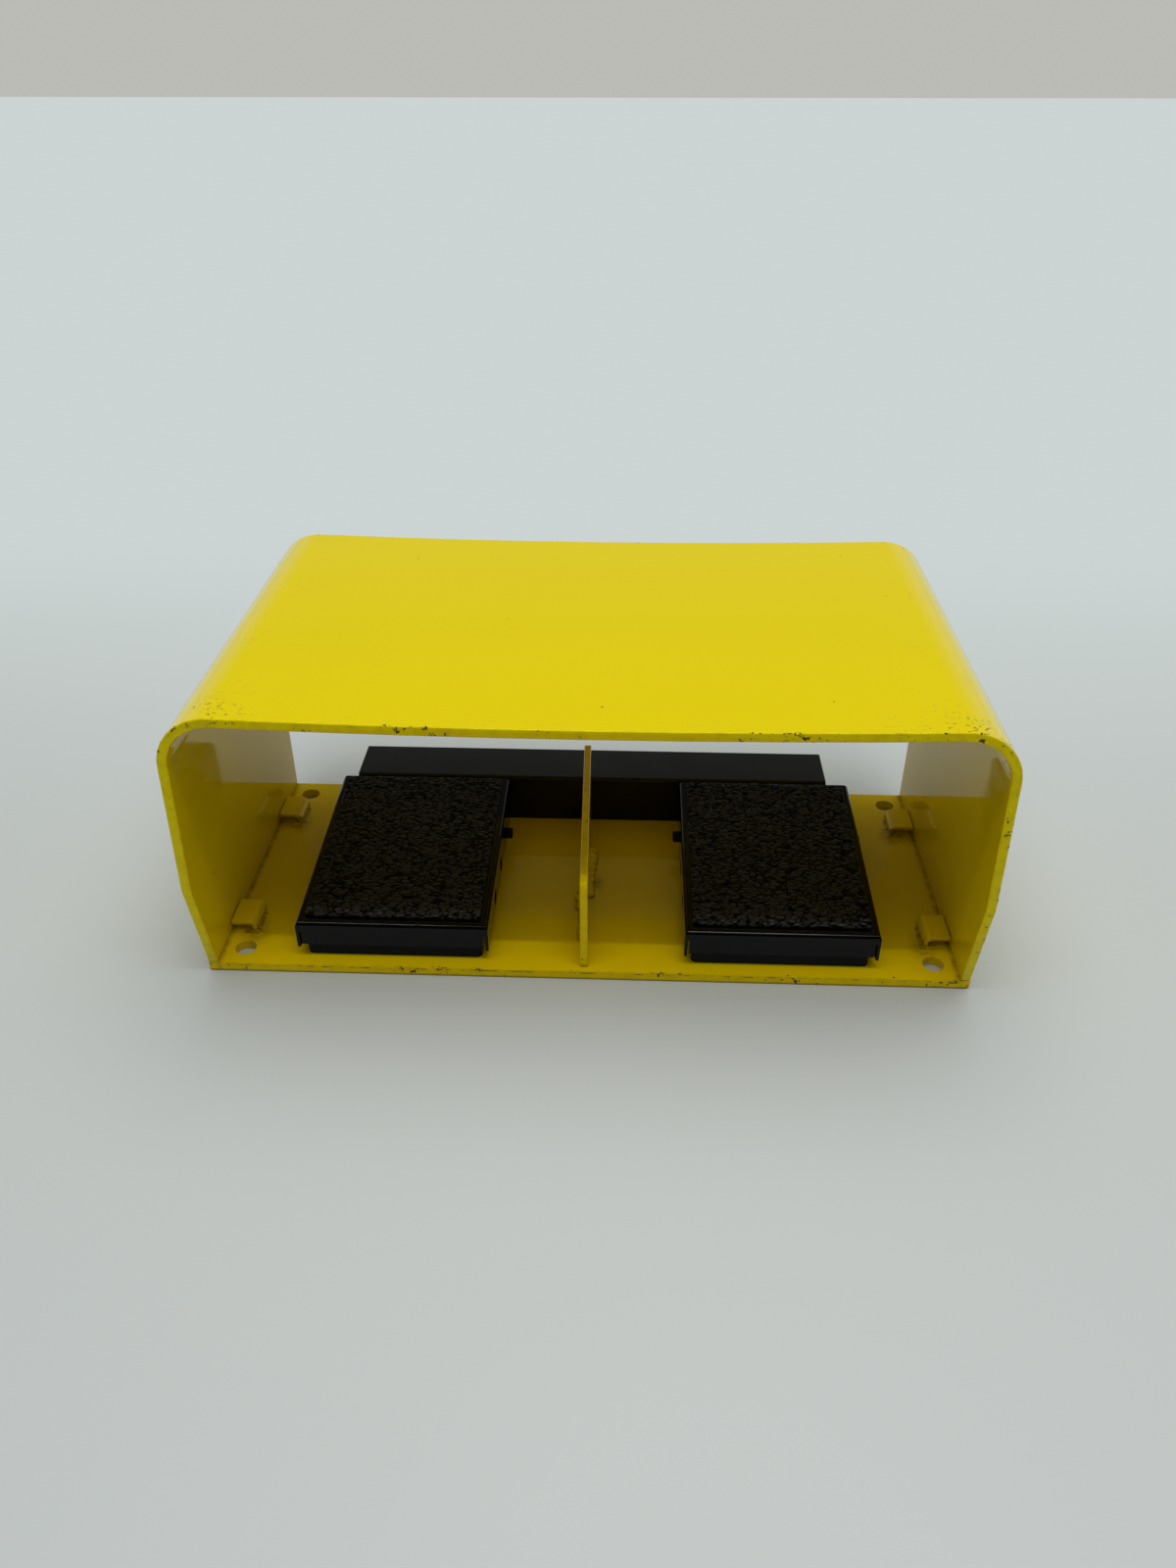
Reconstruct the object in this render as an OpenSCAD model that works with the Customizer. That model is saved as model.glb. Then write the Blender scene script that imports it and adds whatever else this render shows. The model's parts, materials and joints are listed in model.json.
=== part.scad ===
// Twin-treadle industrial foot switch in a welded sheet-steel guard.
// +X is to the operator's right, +Y points away from the operator, +Z is up.
// The origin is the bottom centre of the bounding box, on the floor.
// Inside the modules y is measured from the front edge of the base plate;
// place() moves the finished piece to the origin.

/* [Base plate] */
// Width of the base plate
base_w = 305; // [290:1:325]
// Depth of the base plate
base_d = 132; // [130:1:150]
// Thickness of the base plate
base_t = 4; // [3:0.5:6]
// Corner radius of the base plate
base_corner_r = 2; // [1:0.5:4]
// Diameter of the four mounting holes
bolt_d = 8.5; // [6:0.5:10]
// Distance of the mounting holes from the side edges
bolt_edge_x = 13.25; // [12:0.25:20]
// Distance of the mounting holes from the front and rear edges
bolt_edge_y = 9.5; // [8:0.5:11]

/* [Guard hood] */
// Overall height of the guard
guard_h = 120; // [110:1:160]
// Thickness of the hood's sheet
hood_t = 3.8; // [2.5:0.1:4.5]
// Outside bend radius between cheeks and top
hood_r = 21; // [12:1:30]
// Width of the ledge of base plate left outside each cheek
weld_ledge = 0.75; // [0.5:0.05:2]
// How far the nose of each cheek stands ahead of the base plate
nose_out = 9; // [6:0.5:14]
// Height of the nose above the base plate
nose_rise = 43; // [35:1:50]
// How far the top's front edge stands ahead of the base plate
brow_out = 5; // [0:0.5:6]
// How far the top's rear edge reaches behind the base plate
tail_out = 36; // [20:1:40]
// Sag of the top sheet at its middle
top_dish = 2; // [1:0.5:4]

/* [Divider] */
// Thickness of the centre divider
divider_t = 3.1; // [2.5:0.1:5]
// Height of the divider above the base plate
divider_h = 42; // [30:1:46]
// Distance from the base plate's front edge to the divider
divider_inset = 2.5; // [2:0.5:8]
// Offset of the divider from the middle of the guard
divider_x = -0.8; // [-3:0.1:3]
// Turn of the divider away from straight fore and aft, in degrees
divider_turn = 1.2; // [0:0.1:2]
// Corner radius of the divider
divider_corner_r = 2; // [1:0.5:5]

/* [Strap clips] */
// Length of each clip along the cheek
clip_len = 15; // [12:1:18]
// Width of each clip, from the cheek inwards
clip_w = 10.5; // [9:0.5:12]
// Height of each clip
clip_h = 5.2; // [4.5:0.1:7]
// Thickness of the clip's strap
clip_t = 2; // [1.5:0.1:2.5]
// Distance of the clips from the middle of the base plate's depth
clip_dy = 39; // [34:1:39]

/* [Wiring box] */
// Width of the wiring box
box_w = 216.5; // [200:0.5:230]
// Depth of the wiring box
box_d = 26; // [25:0.5:32]
// Height of the wiring box
box_h = 23.2; // [22:0.1:26]
// Offset of the wiring box from the middle of the guard
box_x = -1.7; // [-4:0.1:4]
// Thickness of the box's sheet
box_t = 1.2; // [1:0.1:1.6]
// Outside bend radius of the box
box_r = 1.6; // [1.5:0.1:3]
// Thread diameter of the cable gland
gland_d = 12; // [10:1:12]
// Diameter of the cable entry
cable_d = 7; // [5:0.5:7.5]

/* [Treadles] */
// Gap between each treadle and the inside of its cheek
cheek_gap = 31.95; // [26:0.05:36]
// Width of a treadle
treadle_w = 77; // [74:0.5:82]
// Thickness of the treadle's sheet
treadle_t = 1.2; // [1:0.1:1.3]
// Outside bend radius of the treadle
treadle_r = 2; // [1.8:0.1:3]
// Distance from the base plate's front edge to the lip
treadle_inset = 5; // [4:0.5:8]
// Gap between the treadle's rear edge and the wiring box
treadle_gap = 3; // [2.5:0.5:5]
// Height of the treadle's front edge above the base plate
heel_rise = 17; // [16.5:0.5:19]
// Height of the treadle's rear edge above the base plate
toe_rise = 24; // [24:0.5:27]
// Clearance under the treadle's front lip
lip_clear = 6.5; // [5.5:0.5:8]
// Clearance under the treadle's side flanges
flange_clear = 5; // [4.8:0.1:5.5]
// Width of the relief slits at the front corners
relief_w = 0.8; // [0.5:0.1:1]
// Travel of a treadle in degrees
travel_deg = 3.5; // [2:0.5:3.5]
// Thickness of the tread pad
pad_t = 1.6; // [1:0.1:3]
// Bare margin beside the tread pad
pad_side = 3.2; // [3:0.1:8]
// Bare margin in front of the tread pad
pad_front = 4; // [3:0.5:8]
// Bare margin behind the tread pad
pad_rear = 2; // [2:0.5:8]
// Corner radius of the tread pad
pad_r = 2; // [1:0.5:5]

/* [Pivots] */
// Diameter of the pivot pins
pin_d = 5; // [4.5:0.1:5.5]
// Distance of the pivot pin ahead of the treadle's rear edge
pin_setback = 23.5; // [22:0.5:27]
// Height of the pivot pin above the base plate
pin_rise = 10; // [9.8:0.1:10.5]
// How far the pin stands out of each flange
pin_out = 3; // [2:0.5:4]
// Diameter of the two spare holes in each flange
spare_d = 6.5; // [5:0.5:7]
// Pitch of the pivot hole and the spare holes
hole_pitch = 23; // [20:0.5:24]

/* [Pedal bases] */
// Clearance between the pan and each flange of the treadle
pan_side_gap = 1.8; // [1.6:0.1:3]
// Thickness of the pan's sheet
pan_t = 1.2; // [1:0.1:1.3]
// Outside corner radius of the pan
pan_r = 2.4; // [1.5:0.1:4]
// Gap between the lip and the pan
pan_gap = 0.8; // [0.6:0.1:1.5]
// Distance of the pan ahead of the treadle's rear edge
pan_setback = 3; // [2:0.5:4]
// Diameter of the screws that hold the pans and the box
screw_d = 4; // [3:0.5:4.5]

/* [Contacts and springs] */
// Clearance between the switch and the return spring
switch_gap = 5.1; // [4:0.1:7]
// Diameter of the switch's button
button_d = 3; // [2.5:0.1:3.5]
// Free gap between striker and button
striker_gap = 0.3; // [0.3:0.1:0.6]
// Clearance between the return spring and the pan's front wall
spring_gap = 9.8; // [9:0.1:11]
// Outside diameter of the return spring
coil_d = 11; // [10:0.5:12]
// Wire diameter of the return spring
wire_d = 1.3; // [1:0.1:1.5]
// Turns of the return spring
coil_turns = 5.5; // [4:0.5:6]
// Diameter of the rubber stops
stop_d = 8; // [6:0.5:9]
// Diameter of the leads from the switches
lead_d = 3.6; // [3:0.1:3.8]

/* [Hidden] */
$fn = 48;

// Small amount by which cuts run past a face
past = 1;
// Radial play of fixed screws, grommets and leads in their holes
fix_play = 0.05;
// Radial play of screws in the clearance holes of the box and the pans
screw_play = 0.2;
// Radial play of the treadle on its pivot pin
pivot_play = 0.05;
// How far screws and studs stop short of the plate's underside
screw_short = 0.5;
// Head sizes as a share of the screw's diameter
head_d_ratio = 1.9;
head_h_ratio = 0.6;
// Air left between a moving piece and what it stops against
stop_air = 0.3;

// Guard
floor_z = base_t;
hood_w = base_w - 2 * weld_ledge;
shoulder_z = guard_h - hood_r;
nose_z = floor_z + nose_rise;
front_out = max(nose_out, brow_out);
mid_y = (base_d + tail_out - front_out) / 2;
hood_inside = hood_w / 2 - hood_t;
dish_half = hood_w / 2 - hood_r;
dish_radius = (dish_half * dish_half + top_dish * top_dish) / (2 * top_dish);
clip_gap = 0.4;
clip_r = clip_t + 1;
clip_x = hood_inside - clip_gap;

// Wiring box
box_front = base_d - box_d;
box_in_front = box_front + box_t;
box_in_rear = base_d - box_t;
bracket_inset = 28;
bracket_dx = box_w / 2 - bracket_inset;
bracket_w = 14;
bracket_leg = 9;
bracket_h = 14;
bracket_t = 1.5;
box_screw_rise = 10;
box_screw_z = floor_z + box_screw_rise;
gland_dx = 50;
gland_x = box_x + gland_dx;
gland_rise = 9.3;
gland_z = floor_z + gland_rise;
gland_hex = 17;
gland_cap_r = 7.5;
gland_flange_t = 3.5;
gland_nut_t = 3;
gland_thread_in = box_t + gland_nut_t + 1;
seal_r = gland_d / 2 - 1.2;
seal_len = 6;
block_setback = 10;
block_y = box_in_front + block_setback;
block_size = [42, 13, 10];
block_wing = 7;
barrier_h = 3;
barrier_t = 1.4;
block_poles = 4;

// Treadle
treadle_front = treadle_inset;
treadle_rear = box_front - treadle_gap;
heel_z = floor_z + heel_rise;
toe_z = floor_z + toe_rise;
slope = atan((toe_z - heel_z) / (treadle_rear - treadle_front));
top_len = (treadle_rear - treadle_front) / cos(slope);
pedal_x = hood_inside - cheek_gap - treadle_w / 2;
pin_y = treadle_rear - pin_setback;
pin_z = floor_z + pin_rise;
flange_z = floor_z + flange_clear;
lip_z = floor_z + lip_clear;
relief_top = heel_z - treadle_r - 2;
function top_z(y) = heel_z + (y - treadle_front) * tan(slope);
function under_z(y) = top_z(y) - treadle_t / cos(slope);
// Distance of the underside from the pivot, and its height when pressed
under_arm = (under_z(pin_y) - pin_z) * cos(slope);
full_slope = slope + travel_deg;
function pressed_z(y) = pin_z + under_arm / cos(full_slope) + (y - pin_y) * tan(full_slope);

// Pedal base
pan_w = treadle_w - 2 * (treadle_t + pan_side_gap);
pan_front = treadle_front + treadle_t + pan_gap;
pan_rear = treadle_rear - pan_setback;
pan_floor = floor_z + pan_t;
pan_front_z = pressed_z(pan_front) - 1.5;
ear_r = pin_d / 2 + 3;
ear_z = pin_z + ear_r;
rest_z = under_z(pan_rear - pan_t) - stop_air;
pan_screw_side = 9.5;
pan_screw_front = 27;
pan_screw_rear = 8;
pan_screw_x = pan_w / 2 - pan_screw_side;
pan_screw_ys = [pan_front + pan_screw_front, pan_rear - pan_screw_rear];
clip_ring_t = 0.8;
clip_ring_x = pan_w / 2 + (pan_side_gap - clip_ring_t) / 2;
groove_depth = 0.4;
groove_r = pin_d / 2 - groove_depth;
clip_ring_w = 1.8;

// Switch, lead, spring and stops
spring_y = pan_front + pan_t + spring_gap + coil_d / 2;
switch_size = [6.4, 19.8, 10.2];
button_y = spring_y + coil_d / 2 + switch_gap + switch_size[1] / 2;
button_ahead = pin_y - button_y;
switch_top = pan_floor + switch_size[2];
switch_rear = button_y + switch_size[1] / 2;
switch_hole_dy = 4.75;
switch_hole_z = pan_floor + 3;
switch_screw_d = 2.2;
switch_bracket_t = 1.2;
button_spare = 0.23;
button_stem = 1.5;
button_travel = button_ahead * sin(travel_deg) + 0.1;
button_out = button_ahead * sin(travel_deg) + button_spare;
striker_r = 2.5;
striker_tip = switch_top + button_out + striker_gap;
lead_rise = 4;
lead_z = pan_floor + lead_rise;
blade_len = 5;
lead_start = switch_rear + blade_len;
elbow_r = 6;
grommet_wall = 1.3;
grommet_neck = lead_d / 2 + grommet_wall;
grommet_flange = 0.7;
grommet_lip = grommet_neck + grommet_flange;
grommet_lip_t = 1.2;
seat_play = 0.2;
seat_h = 3;
coil_bottom = pan_floor;
coil_top = under_z(spring_y - coil_d / 2) - stop_air;
stop_side = 9.5;
stop_front = 4.5;
stop_x = pan_w / 2 - stop_side;
stop_y = pan_front + stop_d / 2 + stop_front;
stop_top = pressed_z(stop_y - stop_d / 2) - stop_air;

// ---------- helpers ----------

// Moves a piece from base-plate coordinates to the part's origin
module place() { translate([0, -mid_y, 0]) children(); }

// Moves a piece to the left (-1) or right (1) pedal
module at_pedal(side) { translate([side * pedal_x, 0, 0]) children(); }

// Extrudes a (y, z) outline along X, centred, or from x0 to x1
module along_x(x0, x1) {
  translate([x0, 0, 0]) rotate([90, 0, 90]) linear_extrude(x1 - x0) children();
}

// Extrudes an (x, z) outline along Y from y0 to y1
module along_y(y0, y1) {
  translate([0, y1, 0]) rotate([90, 0, 0]) linear_extrude(y1 - y0) children();
}

// Rod along X or Y
module rod_x(r, x0, x1) { translate([x0, 0, 0]) rotate([0, 90, 0]) cylinder(r = r, h = x1 - x0); }
module rod_y(r, y0, y1) { translate([0, y0, 0]) rotate([-90, 0, 0]) cylinder(r = r, h = y1 - y0); }

// Rectangle from the origin with four round corners
module rounded_rect(w, d, r) {
  translate([r, 0]) square([w - 2 * r, d]);
  translate([0, r]) square([w, d - 2 * r]);
  for (x = [r, w - r], y = [r, d - r]) translate([x, y]) circle(r = r);
}

// Rectangle whose two top corners are round, centred on x = 0
module arch(w, z0, z1, r) {
  translate([-w / 2, z0]) square([w, z1 - r - z0]);
  translate([-w / 2 + r, z0]) square([w - 2 * r, z1 - z0]);
  for (s = [-1, 1]) translate([s * (w / 2 - r), z1 - r]) circle(r = r);
}

// Screw standing head up on z = 0, with a crossed recess
module pan_head_screw(d, length) {
  head_d = head_d_ratio * d;
  head_h = head_h_ratio * d;
  recess = head_d * 0.55;
  slot_w = head_d * 0.13;
  edge = head_h * 0.35;
  difference() {
    union() {
      cylinder(d = head_d, h = head_h - edge);
      translate([0, 0, head_h - edge]) cylinder(d1 = head_d, d2 = head_d - 2 * edge, h = edge);
      translate([0, 0, -length]) cylinder(d = d, h = length);
    }
    for (a = [0, 90]) rotate(a)
      translate([-recess / 2, -slot_w / 2, head_h * 0.45]) cube([recess, slot_w, head_h]);
  }
}

// ---------- guard ----------

module base_plate() {
  color("gold") place() linear_extrude(base_t) difference() {
    translate([-base_w / 2, 0]) rounded_rect(base_w, base_d, base_corner_r);
    for (s = [-1, 1], y = [bolt_edge_y, base_d - bolt_edge_y])
      translate([s * (base_w / 2 - bolt_edge_x), y]) circle(d = bolt_d);
    for (s = [-1, 1], x = [-pan_screw_x, pan_screw_x], y = pan_screw_ys)
      translate([s * pedal_x + x, y]) circle(r = screw_d / 2 + fix_play);
    for (s = [-1, 1]) translate([box_x + s * block_screw_dx, block_y])
      circle(r = block_screw_d / 2 + fix_play);
    translate([ground_x, ground_y]) circle(r = screw_d / 2 + fix_play);
  }
}

// Cross-section of the bent sheet; inset = 0 is the outside, hood_t the inside
module hood_outline(inset) {
  difference() {
    arch(hood_w - 2 * inset, floor_z - inset, guard_h - inset, hood_r - inset);
    translate([0, guard_h - inset - top_dish + dish_radius]) circle(r = dish_radius, $fn = 360);
  }
}

// Side view of the guard: a nose at the front and a tail at the rear
module cheek_outline() {
  above = guard_h + past;
  polygon([
    [0, floor_z], [-nose_out, nose_z], [-brow_out, shoulder_z], [-brow_out, above],
    [base_d + tail_out, above], [base_d + tail_out, shoulder_z], [base_d, nose_z], [base_d, floor_z]
  ]);
}

module guard_hood() {
  color("gold") place() intersection() {
    along_y(-front_out - past, base_d + tail_out + past) difference() {
      hood_outline(0);
      hood_outline(hood_t);
    }
    along_x(-hood_w / 2 - past, hood_w / 2 + past) cheek_outline();
  }
}

divider_rear = box_front - 0.3;
// Places what is drawn from the middle of the divider's front edge
module at_divider() {
  translate([divider_x, divider_inset, floor_z]) rotate([0, 0, divider_turn]) children();
}

module centre_divider() {
  len = divider_rear - divider_inset;
  r = divider_corner_r;
  color("gold") place() at_divider() along_x(-divider_t / 2, divider_t / 2) {
    square([len, divider_h - r]);
    translate([r, 0]) square([len - 2 * r, divider_h]);
    for (y = [r, len - r]) translate([y, divider_h - r]) circle(r = r);
  }
}

// Strap folded down at its inner edge, drawn for the right-hand cheek
module clip_outline(w, h, r) {
  intersection() {
    translate([-w, 0]) square([w, h]);
    union() {
      translate([-w, 0]) square([w, h - r]);
      translate([-w + r, 0]) square([w - r, h]);
      translate([-w + r, h - r]) circle(r = r);
    }
  }
}

module strap_clip() {
  along_y(-clip_len / 2, clip_len / 2) difference() {
    clip_outline(clip_w, clip_h, clip_r);
    translate([past, -past]) clip_outline(clip_w - clip_t + past, clip_h - clip_t + past, clip_r - clip_t);
  }
}

module strap_clips() {
  color("gold") place() for (m = [0, 1], s = [-1, 1])
    mirror([m, 0, 0]) translate([clip_x, base_d / 2 + s * clip_dy, floor_z]) strap_clip();
}

// Row of weld ripples in the corner between the floor and a face looking along +X
module weld_row(r, pitch, count) {
  intersection() {
    for (i = [0:count - 1]) translate([0, i * pitch, 0]) sphere(r = r, $fn = 24);
    translate([0, -r, 0]) cube([r, (count - 1) * pitch + 2 * r, r]);
  }
}

divider_weld_r = 2.6;
divider_weld_pitch = 3.6;
divider_weld_n = 8;
divider_weld_right = 48;
divider_weld_left = 19;
clip_weld_r = 1.7;
clip_weld_pitch = 2.2;
module weld_beads() {
  color("goldenrod") place() {
    at_divider() {
      translate([divider_t / 2, divider_weld_right, 0])
        weld_row(divider_weld_r, divider_weld_pitch, divider_weld_n);
      translate([-divider_t / 2, divider_weld_left, 0])
        mirror([1, 0, 0]) weld_row(divider_weld_r, divider_weld_pitch, divider_weld_n);
    }
    for (m = [0, 1], s = [-1, 1]) mirror([m, 0, 0])
      translate([clip_x - clip_w, base_d / 2 + s * clip_dy - clip_weld_pitch, floor_z])
        mirror([1, 0, 0]) weld_row(clip_weld_r, clip_weld_pitch, 3);
    for (m = [0, 1]) mirror([m, 0, 0]) translate([hood_w / 2, 0, floor_z])
      along_y(base_corner_r, base_d - base_corner_r)
        polygon([[0, 0], [weld_ledge, 0], [0, 2 * weld_ledge]]);
  }
}

// ---------- wiring box ----------

module box_outline(inset) {
  d = box_d - 2 * inset;
  translate([box_front + box_d / 2, 0]) arch(d, floor_z - inset, floor_z + box_h - inset, box_r - inset);
}

module wiring_box() {
  half = box_w / 2;
  color("dimgray") place() difference() {
    translate([box_x, 0, 0]) along_x(-half, half) box_outline(0);
    translate([box_x, 0, 0]) along_x(-half + box_t, half - box_t) box_outline(box_t);
    for (s = [-1, 1]) {
      translate([s * pedal_x, 0, lead_z])
        rod_y(grommet_neck + fix_play, box_front - past, box_in_front + past);
      translate([box_x + s * bracket_dx, 0, box_screw_z])
        rod_y(screw_d / 2 + screw_play, box_in_rear - past, base_d + past);
    }
    translate([gland_x, 0, gland_z]) rod_y(gland_d / 2 + 0.1, box_in_rear - past, base_d + past);
  }
}

// Angles welded to the base plate that take the box's screws
module box_brackets() {
  color("silver") place() for (s = [-1, 1])
    translate([box_x + s * bracket_dx, box_in_rear, floor_z]) difference() {
      union() {
        translate([-bracket_w / 2, -bracket_leg, 0]) cube([bracket_w, bracket_leg, bracket_t]);
        translate([-bracket_w / 2, -bracket_t, 0]) cube([bracket_w, bracket_t, bracket_h]);
      }
      translate([0, 0, box_screw_z - floor_z]) rod_y(screw_d / 2 + fix_play, -bracket_t - past, past);
    }
}

box_screw_len = 6;
module box_screws() {
  color("silver") place() for (s = [-1, 1])
    translate([box_x + s * bracket_dx, base_d, box_screw_z]) rotate([-90, 0, 0])
      pan_head_screw(screw_d, box_screw_len);
}

// Gland axis along +Y, with y = 0 on the box's rear face
module at_gland() { translate([gland_x, base_d, gland_z]) rotate([-90, 0, 0]) children(); }

gland_thread_out = 4;
gland_nose_len = gland_flange_t + gland_thread_out;
module gland_body() {
  color("darkslategray") place() at_gland() difference() {
    union() {
      translate([0, 0, -gland_thread_in]) cylinder(d = gland_d, h = gland_thread_in);
      cylinder(d = gland_hex / cos(30), h = gland_flange_t, $fn = 6);
      cylinder(d = gland_d, h = gland_nose_len);
    }
    translate([0, 0, -gland_thread_in - past])
      cylinder(d = cable_d, h = gland_thread_in + gland_nose_len + 2 * past);
    translate([0, 0, gland_nose_len - seal_len]) cylinder(r = seal_r, h = seal_len + past);
  }
}

gland_cap_len = 8;
module gland_cap() {
  color("darkslategray") place() at_gland() translate([0, 0, gland_flange_t]) difference() {
    union() {
      cylinder(r = gland_cap_r, h = gland_cap_len - 2.5);
      translate([0, 0, gland_cap_len - 2.5]) cylinder(r1 = gland_cap_r, r2 = gland_cap_r - 2, h = 2.5);
    }
    translate([0, 0, -past]) cylinder(r = gland_d / 2 + fix_play, h = gland_thread_out + past + fix_play);
    translate([0, 0, -past]) cylinder(d = cable_d + 0.6, h = gland_cap_len + 2 * past);
    for (a = [0:30:330]) rotate(a)
      translate([gland_cap_r + 0.4, 0, -past]) cylinder(r = 0.9, h = gland_cap_len - 1.5);
  }
}

module gland_locknut() {
  color("darkslategray") place() at_gland() translate([0, 0, -box_t - gland_nut_t]) difference() {
    cylinder(d = gland_hex / cos(30), h = gland_nut_t, $fn = 6);
    translate([0, 0, -past]) cylinder(r = gland_d / 2 + fix_play, h = gland_nut_t + 2 * past);
  }
}

module gland_seal() {
  color("black") place() at_gland() translate([0, 0, gland_nose_len - seal_len]) difference() {
    cylinder(r = seal_r - fix_play, h = seal_len);
    translate([0, 0, -past]) cylinder(r = cable_d / 2 + fix_play, h = seal_len + 2 * past);
  }
}

block_screw_d = 2.8;
block_wing_h = 7;
pole_screw_d = 2.6;
pole_y = 3.4;
pole_depth = 5;
block_screw_dx = (block_size[0] - block_wing) / 2;
block_deck_w = block_size[0] - 2 * block_wing;
block_pitch = block_deck_w / block_poles;
function pole_x(i) = (i - (block_poles - 1) / 2) * block_pitch;
module terminal_block() {
  deck = block_size[2];
  color("darkslategray") place() translate([box_x, block_y, floor_z]) difference() {
    union() {
      translate([-block_size[0] / 2, -block_size[1] / 2, 0])
        cube([block_size[0], block_size[1], block_wing_h]);
      translate([-block_deck_w / 2, -block_size[1] / 2, 0]) cube([block_deck_w, block_size[1], deck]);
      for (i = [0:block_poles])
        translate([pole_x(i) - block_pitch / 2 - barrier_t / 2, -block_size[1] / 2, 0])
          cube([barrier_t, block_size[1], deck + barrier_h]);
    }
    for (s = [-1, 1]) translate([s * block_screw_dx, 0, -past])
      cylinder(r = block_screw_d / 2 + fix_play, h = deck + 2 * past);
    for (i = [0:block_poles - 1], s = [-1, 1])
      translate([pole_x(i), s * pole_y, deck - pole_depth])
        cylinder(r = pole_screw_d / 2 + fix_play, h = pole_depth + past);
  }
}

module terminal_screws() {
  color("silver") place() translate([box_x, block_y, 0]) {
    for (s = [-1, 1]) translate([s * block_screw_dx, 0, floor_z + block_wing_h])
      pan_head_screw(block_screw_d, block_wing_h + base_t - screw_short);
    for (i = [0:block_poles - 1], s = [-1, 1]) translate([pole_x(i), s * pole_y, floor_z + block_size[2]])
      pan_head_screw(pole_screw_d, pole_depth - screw_short);
  }
}

ground_dx = -55;
ground_x = box_x + ground_dx;
ground_y = box_in_rear - 6.5;
washer_d = 9;
washer_t = 0.8;
module ground_screw() {
  color("olivedrab") place() translate([ground_x, ground_y, floor_z]) {
    difference() {
      cylinder(d = washer_d, h = washer_t);
      translate([0, 0, -past]) cylinder(r = screw_d / 2 + fix_play, h = washer_t + 2 * past);
    }
    translate([0, 0, washer_t]) pan_head_screw(screw_d, washer_t + base_t - screw_short);
  }
}

// ---------- leads ----------

// Lead from a switch back into the box, then along the box to the block
module lead(side) {
  turn_y = block_y - elbow_r;
  end_x = abs(pedal_x - side * box_x - block_size[0] / 2);
  color("dimgray") place() mirror([side > 0 ? 1 : 0, 0, 0]) translate([-pedal_x, 0, lead_z]) {
    rod_y(lead_d / 2, lead_start, turn_y);
    translate([elbow_r, turn_y, 0]) rotate(90)
      rotate_extrude(angle = 90) translate([elbow_r, 0]) circle(d = lead_d);
    translate([0, block_y, 0]) rod_x(lead_d / 2, elbow_r, end_x);
  }
}
module lead_left() { lead(-1); }
module lead_right() { lead(1); }

// Grommet through a wall from y0 to y1
module grommet(y0, y1) {
  difference() {
    union() {
      rod_y(grommet_neck, y0, y1);
      rod_y(grommet_lip, y0 - grommet_lip_t, y0);
      rod_y(grommet_lip, y1, y1 + grommet_lip_t);
    }
    rod_y(lead_d / 2 + fix_play, y0 - 2 * grommet_lip_t, y1 + 2 * grommet_lip_t);
  }
}

module lead_grommets() {
  color("black") place() for (s = [-1, 1]) at_pedal(s) translate([0, 0, lead_z]) {
    grommet(pan_rear - pan_t, pan_rear);
    grommet(box_front, box_in_front);
  }
}

// ---------- pedal base ----------

module pan() {
  d = pan_rear - pan_front;
  tall = rest_z - floor_z + past;
  difference() {
    intersection() {
      translate([-pan_w / 2, pan_front, floor_z]) linear_extrude(tall) rounded_rect(pan_w, d, pan_r);
      along_x(-pan_w / 2 - past, pan_w / 2 + past) polygon([
        [pan_front, floor_z], [pan_front, pan_front_z], [pin_y - ear_r, ear_z], [pin_y + ear_r, ear_z],
        [pan_rear - pan_t, rest_z], [pan_rear, rest_z], [pan_rear, floor_z]
      ]);
    }
    translate([-pan_w / 2 + pan_t, pan_front + pan_t, pan_floor])
      linear_extrude(tall + past) rounded_rect(pan_w - 2 * pan_t, d - 2 * pan_t, pan_r - pan_t);
    translate([0, pin_y, pin_z]) rod_x(pin_d / 2 + 0.03, -pan_w, pan_w);
    translate([0, 0, lead_z]) rod_y(grommet_neck + fix_play, pan_rear - pan_t - past, pan_rear + past);
    for (x = [-pan_screw_x, pan_screw_x], y = pan_screw_ys)
      translate([x, y, floor_z - past]) cylinder(r = screw_d / 2 + screw_play, h = pan_t + 2 * past);
  }
}
module pan_left() { color("dimgray") place() at_pedal(-1) pan(); }
module pan_right() { color("dimgray") place() at_pedal(1) pan(); }

module pan_screws() {
  color("silver") place() for (s = [-1, 1], x = [-pan_screw_x, pan_screw_x], y = pan_screw_ys)
    translate([s * pedal_x + x, y, pan_floor]) pan_head_screw(screw_d, pan_t + base_t - screw_short);
}

module pivot_pin() {
  half = treadle_w / 2 + pin_out;
  r = pin_d / 2;
  bevel = 0.5;
  g0 = clip_ring_x - 0.05;
  g1 = clip_ring_x + clip_ring_t + 0.05;
  translate([0, pin_y, pin_z]) for (m = [0, 1]) mirror([m, 0, 0]) rotate([0, 90, 0])
    rotate_extrude() polygon([
      [0, 0], [r, 0], [r, g0], [groove_r, g0], [groove_r, g1], [r, g1],
      [r, half - bevel], [r - bevel, half], [0, half]
    ]);
}
module pivot_pin_left() { color("dimgray") place() at_pedal(-1) pivot_pin(); }
module pivot_pin_right() { color("dimgray") place() at_pedal(1) pivot_pin(); }

// Retaining ring in the groove, with its mouth downwards
module pivot_clip() {
  difference() {
    rod_x(pin_d / 2 + clip_ring_w, 0, clip_ring_t);
    rod_x(groove_r + fix_play, -past, clip_ring_t + past);
    translate([-past, -groove_r * 0.8, -2 * pin_d]) cube([clip_ring_t + 2 * past, groove_r * 1.6, 2 * pin_d]);
  }
}
module pivot_clips() {
  color("silver") place() for (s = [-1, 1]) at_pedal(s) for (m = [0, 1]) mirror([m, 0, 0])
    translate([clip_ring_x, pin_y, pin_z]) pivot_clip();
}

// ---------- switches ----------

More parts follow.
